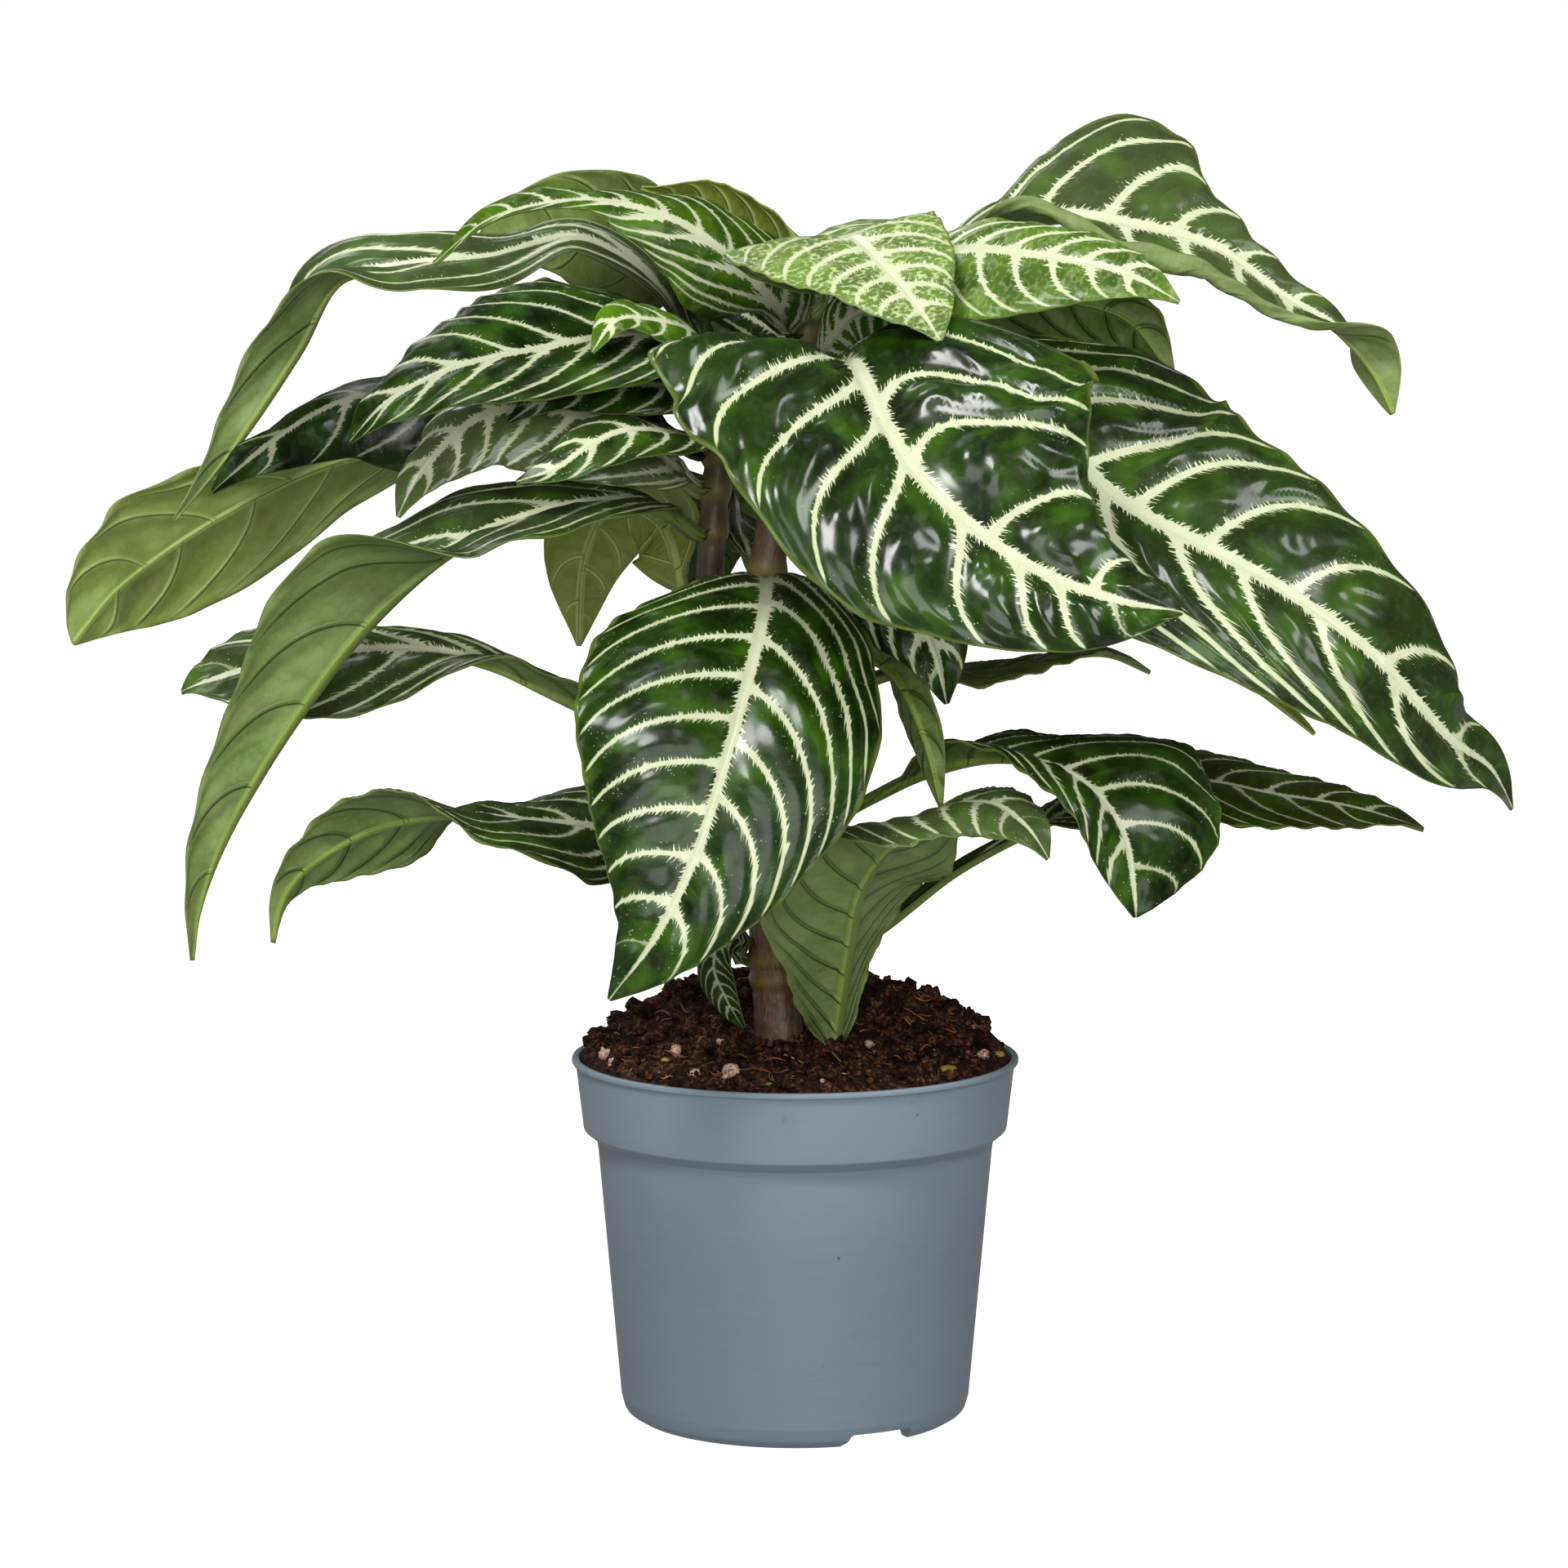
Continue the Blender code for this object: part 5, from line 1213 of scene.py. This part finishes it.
NOTCH_BEARING = -60.0
print("pot:", 2 * RIM_RADIUS, "mm across the rim and", POT_HEIGHT, "mm high")

# %% The pot's outline
ARC_STEPS = 7
LONGEST_RUN = 3.5
NEARLY_STRAIGHT = 1.55


def rounded(corners):
    """A closed outline from corners, each with the radius that rounds it."""
    outline = []
    count = len(corners)
    for i, (x, z, radius) in enumerate(corners):
        here = np.array((x, z))
        before, after = np.array(corners[i - 1][:2]), np.array(corners[(i + 1) % count][:2])
        back, ahead = unit(before - here), unit(after - here)
        half_angle = math.acos(np.clip(back.dot(ahead), -1, 1)) / 2
        if radius == 0 or half_angle > NEARLY_STRAIGHT:
            outline.append(here)
            continue
        room = 0.49 * min(np.linalg.norm(before - here), np.linalg.norm(after - here))
        reach = min(radius / math.tan(half_angle), room)
        radius = reach * math.tan(half_angle)
        centre = here + unit(back + ahead) * radius / math.sin(half_angle)
        start, end = here + back * reach - centre, here + ahead * reach - centre
        sweep = math.atan2(start[0] * end[1] - start[1] * end[0], start.dot(end))
        for step in range(ARC_STEPS + 1):
            angle = sweep * step / ARC_STEPS
            turned = (start[0] * math.cos(angle) - start[1] * math.sin(angle),
                      start[0] * math.sin(angle) + start[1] * math.cos(angle))
            outline.append(centre + np.array(turned))
    return outline


def subdivided(outline):
    """The same closed outline with its long straight runs cut into shorter ones."""
    fine = []
    for a, b in zip(outline, outline[1:] + outline[:1]):
        parts = max(int(np.linalg.norm(b - a) / LONGEST_RUN), 1)
        fine += [a + (b - a) * part / parts for part in range(parts)]
    return fine


def pot_outline():
    """The pot's wall and floor, outside first, from the rim down."""
    lip_foot = POT_HEIGHT - LIP_HEIGHT
    inner_top = BAND_TOP_RADIUS - WALL
    corners = [(RIM_RADIUS, POT_HEIGHT, 0.7), (RIM_RADIUS, lip_foot, 0.8),
               (BAND_TOP_RADIUS, lip_foot - 0.1, 0.3), (BAND_FOOT_RADIUS, BAND_FOOT, 1.2),
               (SHOULDER_RADIUS + 0.4, SHOULDER + 0.8, 1.0), (SHOULDER_RADIUS - 0.1, SHOULDER - 3.0, 2.0),
               (HEEL_RADIUS, HEEL, 6.0), (HEEL_RADIUS - 1.2, 2.2, 3.0), (FOOT_RADIUS - 0.6, 0.0, 0.6),
               (FOOT_INNER_RADIUS, 0.0, 0.6), (FOOT_INNER_RADIUS, FLOOR_UNDERSIDE, 0.5),
               (CENTRE_HOLE_RADIUS, FLOOR_UNDERSIDE, 0.3), (CENTRE_HOLE_RADIUS, FLOOR_TOP, 0.3),
               (HEEL_RADIUS - WALL - 1.0, FLOOR_TOP, 3.5), (SHOULDER_RADIUS - WALL, SHOULDER, 2.0),
               (BAND_FOOT_RADIUS - WALL, BAND_FOOT, 2.0), (inner_top, lip_foot, 1.0),
               (inner_top + 0.5, POT_HEIGHT, 0.7)]
    return subdivided(rounded(corners))


print("points of the pot's outline:", len(pot_outline()))

# %% [markdown]
# ## Holes and notches
# Water leaves through holes in the floor and runs out through two notches in the foot ring. Both are
# cut with simple rods that reach well past the wall, because a cutter that ends exactly on a face
# leaves slivers behind.

# %% Rods that cut the pot
HOLE_SIDES = 36


def rod(builder, near, far):
    """Add a closed rod to a mesh of cutters, from the points of its two ends."""
    ends = [[builder.verts.new(point) for point in end] for end in (near, far)]
    builder.faces.new(ends[0])
    builder.faces.new(ends[1][::-1])
    for i in range(len(near)):
        j = (i + 1) % len(near)
        builder.faces.new((ends[0][i], ends[1][i], ends[1][j], ends[0][j]))


def pot_cutters():
    """Rods for the drain holes and the notches, as one mesh."""
    builder = bmesh.new()
    for hole in range(DRAIN_HOLES):
        at = 2 * math.pi * (hole + 0.5) / DRAIN_HOLES
        plan = [(DRAIN_RING_RADIUS * math.cos(at) + DRAIN_HOLE_RADIUS * math.cos(a),
                 DRAIN_RING_RADIUS * math.sin(at) + DRAIN_HOLE_RADIUS * math.sin(a))
                for a in np.linspace(0.0, 2 * math.pi, HOLE_SIDES, endpoint=False)]
        rod(builder, *([(x, y, z) for x, y in plan] for z in (1.0, FLOOR_TOP + 3.0)))
    for notch in range(NOTCHES):
        bearing = math.radians(NOTCH_BEARING + 360.0 * notch / NOTCHES)
        reach = Vector((math.cos(bearing), math.sin(bearing), 0))
        along = Vector((-reach.y, reach.x, 0))
        half = NOTCH_WIDTH / 2
        section = [(-half - 1.6, -1.0), (-half + 0.2, NOTCH_HEIGHT - 0.7), (-half + 1.2, NOTCH_HEIGHT),
                   (half - 1.2, NOTCH_HEIGHT), (half - 0.2, NOTCH_HEIGHT - 0.7), (half + 1.6, -1.0)]
        rod(builder, *([reach * far + along * x + Vector((0, 0, z)) for x, z in section]
                       for far in (FOOT_INNER_RADIUS - 6.0, HEEL_RADIUS + 6.0)))
    bmesh.ops.recalc_face_normals(builder, faces=builder.faces)
    bmesh.ops.scale(builder, vec=(MM, MM, MM), verts=builder.verts)
    mesh = bpy.data.meshes.new("pot_cutters")
    builder.to_mesh(mesh)
    builder.free()
    made = bpy.data.objects.new("pot_cutters", mesh)
    bpy.context.scene.collection.objects.link(made)
    return made


print("rods to cut with:", DRAIN_HOLES + NOTCHES)

# %% [markdown]
# ## The pot's plastic
# Recycled polypropylene is matt and never quite even: the grey drifts, fine lines run around it from
# the mould, and handling leaves pale scuffs. Specks of soil cling to the wall, and near the rim, where
# wet soil has dried, there is more of it. The grey is also painted lighter towards the top, where the
# band catches more light: painted light.

# %% The pot's plastic
def pot_plastic():
    """Matt blue-grey plastic with a faint grain, handling scuffs, soil specks and dried soil near the rim,
    painted lighter towards the top as painted light.
    """
    paint = Paint("pot_plastic", IOR=1.45, Specular_IOR_Level=0.4)
    here = paint.here()
    x, y, z = paint.split(here)
    drift = paint.cloud(here, 18.0, 3.0)
    grain = paint.cloud(here, 900.0, 2.0, 0.6)
    turned = paint.cloud(paint.place(x * 0.12, y * 0.12, z), 420.0, 3.0, 0.7)
    scuffs = paint.cloud(paint.place(x, y, z * 4.0), 55.0, 5.0, 0.7)
    base = paint.mix(srgb(104, 117, 127), srgb(112, 126, 137), drift)
    base = paint.mix(base, srgb(122, 135, 144), scuffs.step(0.58, 0.78) * 0.3)
    base = paint.mix(base, srgb(94, 106, 116), turned.step(0.5, 0.8) * 0.25)
    height = z * (1.0 / MM)
    # painted light: the grey is lighter towards the top, where the band catches more light, and darker
    # towards the foot
    base = paint.mix(base, srgb(134, 148, 160), height.step(50.0, 110.0) * 0.5)
    specks = (paint.cells(here, 62.0) + grain * 0.06).fade(0.05, 0.075)
    specks = specks * paint.cloud(here, 21.0, 1.0).step(0.56, 0.64)
    stain = paint.cloud(here, 45.0, 4.0, 0.7).step(0.60, 0.74) * height.step(96.0, 112.0)
    dirt = specks.at_least(stain * 0.35).at_most(0.85)
    base = paint.mix(base, srgb(74, 58, 44), dirt)
    return paint.finish(
        Base_Color=base,
        Roughness=0.46 + grain * 0.08 + scuffs.step(0.5, 0.8) * 0.1 + dirt * 0.2,
        Normal=paint.bump(grain * 0.00006 + turned * 0.00005 + scuffs * 0.00008, 0.6),
    )


POT_PLASTIC = pot_plastic()
print(POT_PLASTIC.name, "has", len(POT_PLASTIC.node_tree.nodes), "nodes")

# %% Turning and cutting the pot
POT_SPOKES = 192
SHARP_ANGLE = 35.0


def make_pot():
    """The pot: a turned shell with its holes and notches cut out."""
    outline = np.array(pot_outline())
    turn = np.linspace(0.0, 2 * math.pi, POT_SPOKES, endpoint=False)
    points = np.stack((outline[None, :, 0] * np.cos(turn)[:, None],
                       outline[None, :, 0] * np.sin(turn)[:, None],
                       outline[None, :, 1] * np.ones_like(turn)[:, None]), axis=-1)
    faces = ring_faces(POT_SPOKES, len(outline), closed=True)
    pot = make_piece("pot", points.reshape(-1, 3), faces, ("pot",), (POT_PLASTIC,))
    cutters = pot_cutters()
    tool = pot.modifiers.new("holes", "BOOLEAN")
    tool.operation = "DIFFERENCE"
    tool.solver = "EXACT"
    tool.object = cutters
    shaped = bpy.data.meshes.new_from_object(pot.evaluated_get(bpy.context.evaluated_depsgraph_get()))
    pot.modifiers.clear()
    pot.data = shaped
    bpy.data.objects.remove(cutters, do_unlink=True)
    shaped.set_sharp_from_angle(angle=math.radians(SHARP_ANGLE))
    return pot


print("faces of the pot:", len(make_pot().data.polygons))

# %% [markdown]
# ## The soil
# The peat is a low mound, higher towards the back, so it is a disc of rings with noise in three sizes.
# The nearest layer is loose, which a height field can't show. It is built as real crumbs, pebbles of
# perlite and bits of root, scattered with a fixed seed.

# %% The mound's height
SOIL_EDGE = 113.5
SOIL_TILT = 2.2
SOIL_FRONT_RISE = 6.0
SOIL_BACK_RISE = 17.0
SOIL_RADIUS = BAND_TOP_RADIUS - WALL - GAP - 0.1
LUMPS = ((2.2, 11.0, 3.7), (1.2, 4.2, 8.1), (0.7, 1.7, 1.9))


def soil_height(x, y):
    """Height of the mound at a place, with its lumps: each kind has a height, a size and a seed."""
    share = min(math.hypot(x, y) / SOIL_RADIUS, 1.0)
    back = min(max((y + 20.0) / 55.0, 0.0), 1.0)
    rise = SOIL_FRONT_RISE + SOIL_BACK_RISE * back * back * (3 - 2 * back)
    lumps = sum(high * noise.noise(Vector((x / size, y / size, seed))) for high, size, seed in LUMPS)
    edge = SOIL_EDGE + SOIL_TILT * y / SOIL_RADIUS
    return edge + rise * (1 - share ** 2) ** 0.6 + lumps * (1 - share ** 6)


print("the soil stands", round(soil_height(0.0, 40.0) - POT_HEIGHT), "mm above the rim at the back")

# %% Peat, perlite and dry bits
def peat(name, dark, light, scale):
    """Crumbly peat: dark brown with lighter threads, and near-black patches as painted shade in the gaps."""
    paint = Paint(name, IOR=1.35, Specular_IOR_Level=0.25)
    here = paint.here()
    grit = paint.cloud(here, scale, 5.0, 0.7)
    threads = paint.cloud(here, scale * 0.4, 3.0, 0.6)
    base = paint.mix(dark, light, grit.step(0.45, 0.72))
    base = paint.mix(base, srgb(150, 84, 44), threads.step(0.62, 0.7) * 0.5)
    # painted shade: near-black patches stand for the shaded gaps between clumps
    base = paint.mix(base, srgb(14, 8, 6), paint.cloud(here, 150.0, 2.0).step(0.46, 0.6) * 0.75)
    return paint.finish(Base_Color=base, Roughness=0.86 + grit * 0.1, Normal=paint.bump(grit * 0.001))


def perlite():
    """A pebble of perlite: off-white with a hint of pink, pitted and dusty."""
    paint = Paint("perlite", IOR=1.4)
    pits = paint.cloud(paint.here(), 900.0, 3.0, 0.6)
    base = paint.mix(srgb(140, 92, 72), srgb(216, 184, 164), pits.step(0.35, 0.6))
    return paint.finish(Base_Color=base, Roughness=0.8 + pits * 0.1, Normal=paint.bump(pits * 0.0006))


def dry(name, low, high):
    """A matt finish that drifts between two colours."""
    paint = Paint(name, IOR=1.4, Specular_IOR_Level=0.3)
    drift = paint.cloud(paint.here(), 220.0, 3.0)
    return paint.finish(Base_Color=paint.mix(low, high, drift.step(0.3, 0.7)), Roughness=0.6 + drift * 0.2)


PEAT = peat("peat", srgb(38, 21, 15), srgb(120, 76, 52), 500.0)
CRUMB = peat("crumb", srgb(40, 23, 16), srgb(146, 94, 64), 800.0)
PERLITE = perlite()
DRY_LEAF = dry("dry_leaf", srgb(120, 106, 40), srgb(176, 158, 84))
FIBRE = dry("fibre", srgb(92, 52, 30), srgb(170, 112, 72))
ROOT = dry("root", srgb(140, 108, 70), srgb(196, 168, 118))
print("finishes in the soil:", PEAT.name, CRUMB.name, PERLITE.name, DRY_LEAF.name, FIBRE.name, ROOT.name)

# %% The mound
SOIL_SPOKES = 220
SOIL_RINGS = 62


def make_soil():
    """The mound, closed below inside the pot."""
    turn = np.linspace(0.0, 2 * math.pi, SOIL_SPOKES, endpoint=False)
    inside = [(HEEL_RADIUS - WALL - 3.6, FLOOR_TOP + GAP), (HEEL_RADIUS - WALL - GAP, FLOOR_TOP + 6.0),
              (SHOULDER_RADIUS - WALL - 0.6, SHOULDER - 4.0),
              (BAND_FOOT_RADIUS - WALL - 0.8, BAND_FOOT + 1.0)]
    rows = [[(radius * math.cos(a), radius * math.sin(a), z) for a in turn] for radius, z in inside]
    for ring in range(SOIL_RINGS):
        radius = SOIL_RADIUS * (1 - ring / SOIL_RINGS)
        plan = [(radius * math.cos(a), radius * math.sin(a)) for a in turn]
        rows.append([(x, y, soil_height(x, y)) for x, y in plan])
    faces = ring_faces(len(rows), SOIL_SPOKES)
    last = (len(rows) - 1) * SOIL_SPOKES
    faces += [tuple(range(SOIL_SPOKES))[::-1], tuple(range(last, last + SOIL_SPOKES))]
    return make_piece("soil", np.array(rows).reshape(-1, 3), faces, ("soil",), (PEAT,))


print("points of the mound:", len(make_soil().data.vertices))

# %% [markdown]
# ## Crumbs, pebbles and leaf bits
# Every loose grain is a ball of points pushed in and out by noise, squashed and turned. All grains of
# one kind make one piece, because a thousand objects would be slow to draw and a burden to pick up.
# Most grains are small, so a size is drawn from a curve that favours small ones.

# %% Lumps on the soil
SMALL_BIAS = 2.5


def lump(detail):
    """Points and faces of a ball that crumbs are shaped from."""
    builder = bmesh.new()
    bmesh.ops.create_icosphere(builder, subdivisions=detail, radius=1.0)
    points = np.array([v.co for v in builder.verts])
    faces = [tuple(v.index for v in face.verts) for face in builder.faces]
    builder.free()
    return points, faces


def strewn(count, sizes, dice):
    """Random places on the soil, each with a size, most of them near the smaller one."""
    places = []
    for _ in range(count):
        radius = (SOIL_RADIUS - 2.5) * math.sqrt(dice.random())
        bearing = dice.uniform(0.0, 2 * math.pi)
        size = sizes[0] + (sizes[1] - sizes[0]) * dice.random() ** SMALL_BIAS
        places.append((radius * math.cos(bearing), radius * math.sin(bearing), size))
    return places


def dent(point, seed):
    """Noise in two sizes at a point of a ball."""
    return noise.noise(point * 1.6 + seed) + 0.7 * noise.noise(point * 3.7 + seed)


def lay_lumps(name, places, flatness, detail, rough, material, dice, sink=0.25):
    """Small uneven lumps lying on the soil, as one piece."""
    ball, ball_faces = lump(detail)
    points, faces = [], []
    for x, y, size in places:
        bumps = np.array([1 + rough * dent(Vector(point), Vector((x, y, size))) for point in ball])
        shape = ball * bumps[:, None] * (size, size * dice.uniform(0.55, 1.0), size * flatness)
        spin = dice.uniform(0.0, 2 * math.pi)
        cos, sin = math.cos(spin), math.sin(spin)
        turn = np.array(((cos, -sin, 0), (sin, cos, 0), (0, 0, 1)))
        start = len(points) * len(ball)
        points.append(shape @ turn.T + (x, y, soil_height(x, y) + size * flatness * (1 - 2 * sink)))
        faces += [tuple(start + i for i in face) for face in ball_faces]
    return make_piece(name, np.concatenate(points), faces, ("soil",), (material,))


print("points of a crumb:", len(lump(2)[0]), "and of a pebble:", len(lump(3)[0]))

# %% [markdown]
# ## Fibres and roots
# Peat is full of short bent fibres, and a few thin roots lie on it. Each is a thin five-sided tube that
# wanders over the mound. A curve with a bevel would do as well, but a mesh keeps all of them in one
# piece.

# %% Threads on the soil
THREAD_SIDES = 5
THREAD_STEPS = 3
THREAD_KNOTS = 4
THREAD_TIP = 0.35


def wandering(dice):
    """Plan and lift of a short bent thread somewhere on the soil."""
    radius = (SOIL_RADIUS - 4.0) * math.sqrt(dice.random())
    bearing, heading = dice.uniform(0.0, 2 * math.pi), dice.uniform(0.0, 2 * math.pi)
    x, y = radius * math.cos(bearing), radius * math.sin(bearing)
    stride = dice.uniform(1.0, 2.6)
    knots = []
    for _ in range(THREAD_KNOTS):
        inside = min(1.0, (SOIL_RADIUS - 2.0) / math.hypot(x, y))
        knots.append((x * inside, y * inside, dice.uniform(0.3, 1.7)))
        heading += dice.uniform(-0.7, 0.7)
        x, y = x + stride * math.cos(heading), y + stride * math.sin(heading)
    return knots


def lay_threads(name, threads, thickness, material, dice):
    """Thin threads lying on the soil, each through points given in plan with a lift, as one piece."""
    turn = np.linspace(0.0, 2 * math.pi, THREAD_SIDES, endpoint=False)
    points, faces = [], []
    for knots in threads:
        path = smooth_path([(x, y, soil_height(x, y) + lift) for x, y, lift in knots], THREAD_STEPS)
        heading = unit(np.gradient(path, axis=0))
        across = unit(np.cross(heading, (0.0, 0.0, 1.0)))
        over = np.cross(across, heading)
        taper = np.sin(np.linspace(THREAD_TIP, math.pi - THREAD_TIP, len(path)))
        slim = dice.uniform(*thickness) * taper
        start = len(points) * THREAD_SIDES
        for here, side, up, thick in zip(path, across, over, slim):
            points.append(here + thick * (np.cos(turn)[:, None] * side + np.sin(turn)[:, None] * up))
        ends = [tuple(range(THREAD_SIDES))[::-1],
                tuple((len(path) - 1) * THREAD_SIDES + i for i in range(THREAD_SIDES))]
        faces += [tuple(start + i for i in face) for face in ring_faces(len(path), THREAD_SIDES) + ends]
    return make_piece(name, np.concatenate(points), faces, ("soil",), (material,))


print("sides of a thread:", THREAD_SIDES)

# %% Strewing the soil
CRUMBS = 1200
PEBBLES = 34
FIBRES = 260
STONES = ((-19.5, -47, 2.9), (-30.8, -46, 1.7), (-37, -22, 2.5), (-23, -13.5, 2.1), (25, -28, 1.6),
          (23, -14, 1.5), (58.5, -12, 2.0), (-59, -16, 2.6), (-48, -36, 1.5))
LEAF_BITS = ((47, -36, 2.6), (-40, -30, 1.5), (63.5, -8, 2.2), (38, -22, 1.2), (-8, -58, 1.1),
             (-50, -6, 1.4))
ROOTS = ([(6, -17, 5.5), (10, -24, 2.4), (14, -31, 1.2), (16, -40, 0.9), (18, -54, 0.7)],
         [(-9, -26, 0.8), (-3, -33, 1.3), (5, -37, 0.9), (12, -36, 0.5)],
         [(6, -47, 0.6), (12, -46, 1.2), (20, -45, 0.5)])

soil_dice = random.Random(7)
loose = [
    lay_lumps("soil_crumbs", strewn(CRUMBS, (0.5, 3.6), soil_dice), 0.75, 2, 0.8, CRUMB, soil_dice),
    lay_lumps("soil_perlite", [*STONES, *strewn(PEBBLES, (0.5, 1.6), soil_dice)], 0.85, 3, 0.4, PERLITE,
              soil_dice),
    lay_lumps("soil_leaf_bits", LEAF_BITS, 0.45, 3, 0.3, DRY_LEAF, soil_dice, 0.1),
    lay_threads("soil_fibres", [wandering(soil_dice) for _ in range(FIBRES)], (0.1, 0.3), FIBRE, soil_dice),
    lay_threads("soil_roots", ROOTS, (0.22, 0.3), ROOT, soil_dice),
]
print("loose pieces on the soil:", *(piece.name for piece in loose))

# %% [markdown]
# ## Studio
# The plant stands on a plain white floor in a white room, under a large soft light from above and in
# front. The camera is level with the leaves, some way off, so that its view is nearly straight.

# %% Floor
FLOOR_REACH = 40.0


def make_floor():
    """A pale floor that the light turns white."""
    mesh = bpy.data.meshes.new("floor")
    corners = ((-1, -1), (1, -1), (1, 1), (-1, 1))
    mesh.from_pydata([(x * FLOOR_REACH, y * FLOOR_REACH, 0) for x, y in corners], [], [(0, 1, 2, 3)])
    floor = bpy.data.objects.new("floor", mesh)
    bpy.context.scene.collection.objects.link(floor)
    paint = Paint("white_floor", Roughness=0.9, Base_Color=(0.4, 0.4, 0.4, 1.0),
                  Emission_Color=(1.0, 1.0, 1.0, 1.0), Emission_Strength=1.0)
    mesh.materials.append(paint.material)
    floor.visible_diffuse = False
    floor.visible_glossy = False
    return floor


print(make_floor().name, "reaches", FLOOR_REACH, "m each way")

# %% [markdown]
# ## Light
# Leaves this glossy show their surroundings. A room that is bright all round would wash the greens
# out, so the room is dim above, bright only in a thin band at the horizon, and grey below, and four
# soft lamps do the rest: a key from the upper left, one from the right, one behind and a broad fill.

# %% Lamps and room
AIM = (0.0, 0.0, 0.25)
LAMPS = {
    "key": ((-0.7, -1.5, 2.1), AIM, 0.6, 40.0),
    "right": ((1.3, -0.9, 1.8), AIM, 0.6, 16.0),
    "back": ((-0.9, 1.1, 1.7), AIM, 0.8, 16.0),
    "fill": ((0.1, -3.0, 0.9), (0.0, 0.0, 0.2), 2.0, 60.0),
}
ROOM_LIGHT = ((0.0, 0.42), (0.488, 0.42), (0.492, 1.0), (0.510, 1.0), (0.516, 0.12))


def soft_light(name, place, aim, size, power):
    """A large square light that looks at a point."""
    lamp = bpy.data.lights.new(name, "AREA")
    lamp.size = size
    lamp.energy = power
    made = bpy.data.objects.new(name, lamp)
    made.location = place
    made.rotation_euler = (Vector(aim) - Vector(place)).to_track_quat("-Z", "Y").to_euler()
    bpy.context.scene.collection.objects.link(made)


def make_room():
    """A thin bright horizon, a dim ceiling so that gloss has depth, and soft light from below."""
    world = bpy.context.scene.world or bpy.data.worlds.new("room")
    bpy.context.scene.world = world
    world.use_nodes = True
    nodes, links = world.node_tree.nodes, world.node_tree.links
    place = nodes.new("ShaderNodeTexCoord")
    split = nodes.new("ShaderNodeSeparateXYZ")
    shade = nodes.new("ShaderNodeValToRGB")
    while len(shade.color_ramp.elements) < len(ROOM_LIGHT):
        shade.color_ramp.elements.new(0.5)
    for element, (height, light) in zip(shade.color_ramp.elements, ROOM_LIGHT):
        element.position = height
        element.color = (light, light, light, 1.0)
    up = nodes.new("ShaderNodeMath")
    up.operation = "MULTIPLY_ADD"
    up.inputs[1].default_value = 0.5
    up.inputs[2].default_value = 0.5
    links.new(place.outputs["Generated"], split.inputs[0])
    links.new(split.outputs["Z"], up.inputs[0])
    links.new(up.outputs[0], shade.inputs["Fac"])
    links.new(shade.outputs["Color"], nodes["Background"].inputs["Color"])


for lamp_name, settings in LAMPS.items():
    soft_light(lamp_name, *settings)
make_room()
bpy.context.scene.view_settings.view_transform = "Standard"
print("lamps:", *LAMPS)

# %% Camera
CAMERA_PLACE = (-0.0035, -1.750, 0.4175)
CAMERA_DOWN = 7.1
CAMERA_LENS = 129.9


def make_camera():
    """A long lens at leaf height, looking slightly down."""
    lens = bpy.data.cameras.new("camera")
    lens.lens = CAMERA_LENS
    lens.sensor_width = 36.0
    lens.clip_start = 0.1
    lens.dof.use_dof = False
    camera = bpy.data.objects.new("camera", lens)
    camera.location = CAMERA_PLACE
    camera.rotation_euler = (math.radians(90.0 - CAMERA_DOWN), 0.0, 0.0)
    bpy.context.scene.collection.objects.link(camera)
    bpy.context.scene.camera = camera


make_camera()
print("camera", -CAMERA_PLACE[1], "m in front of the plant")
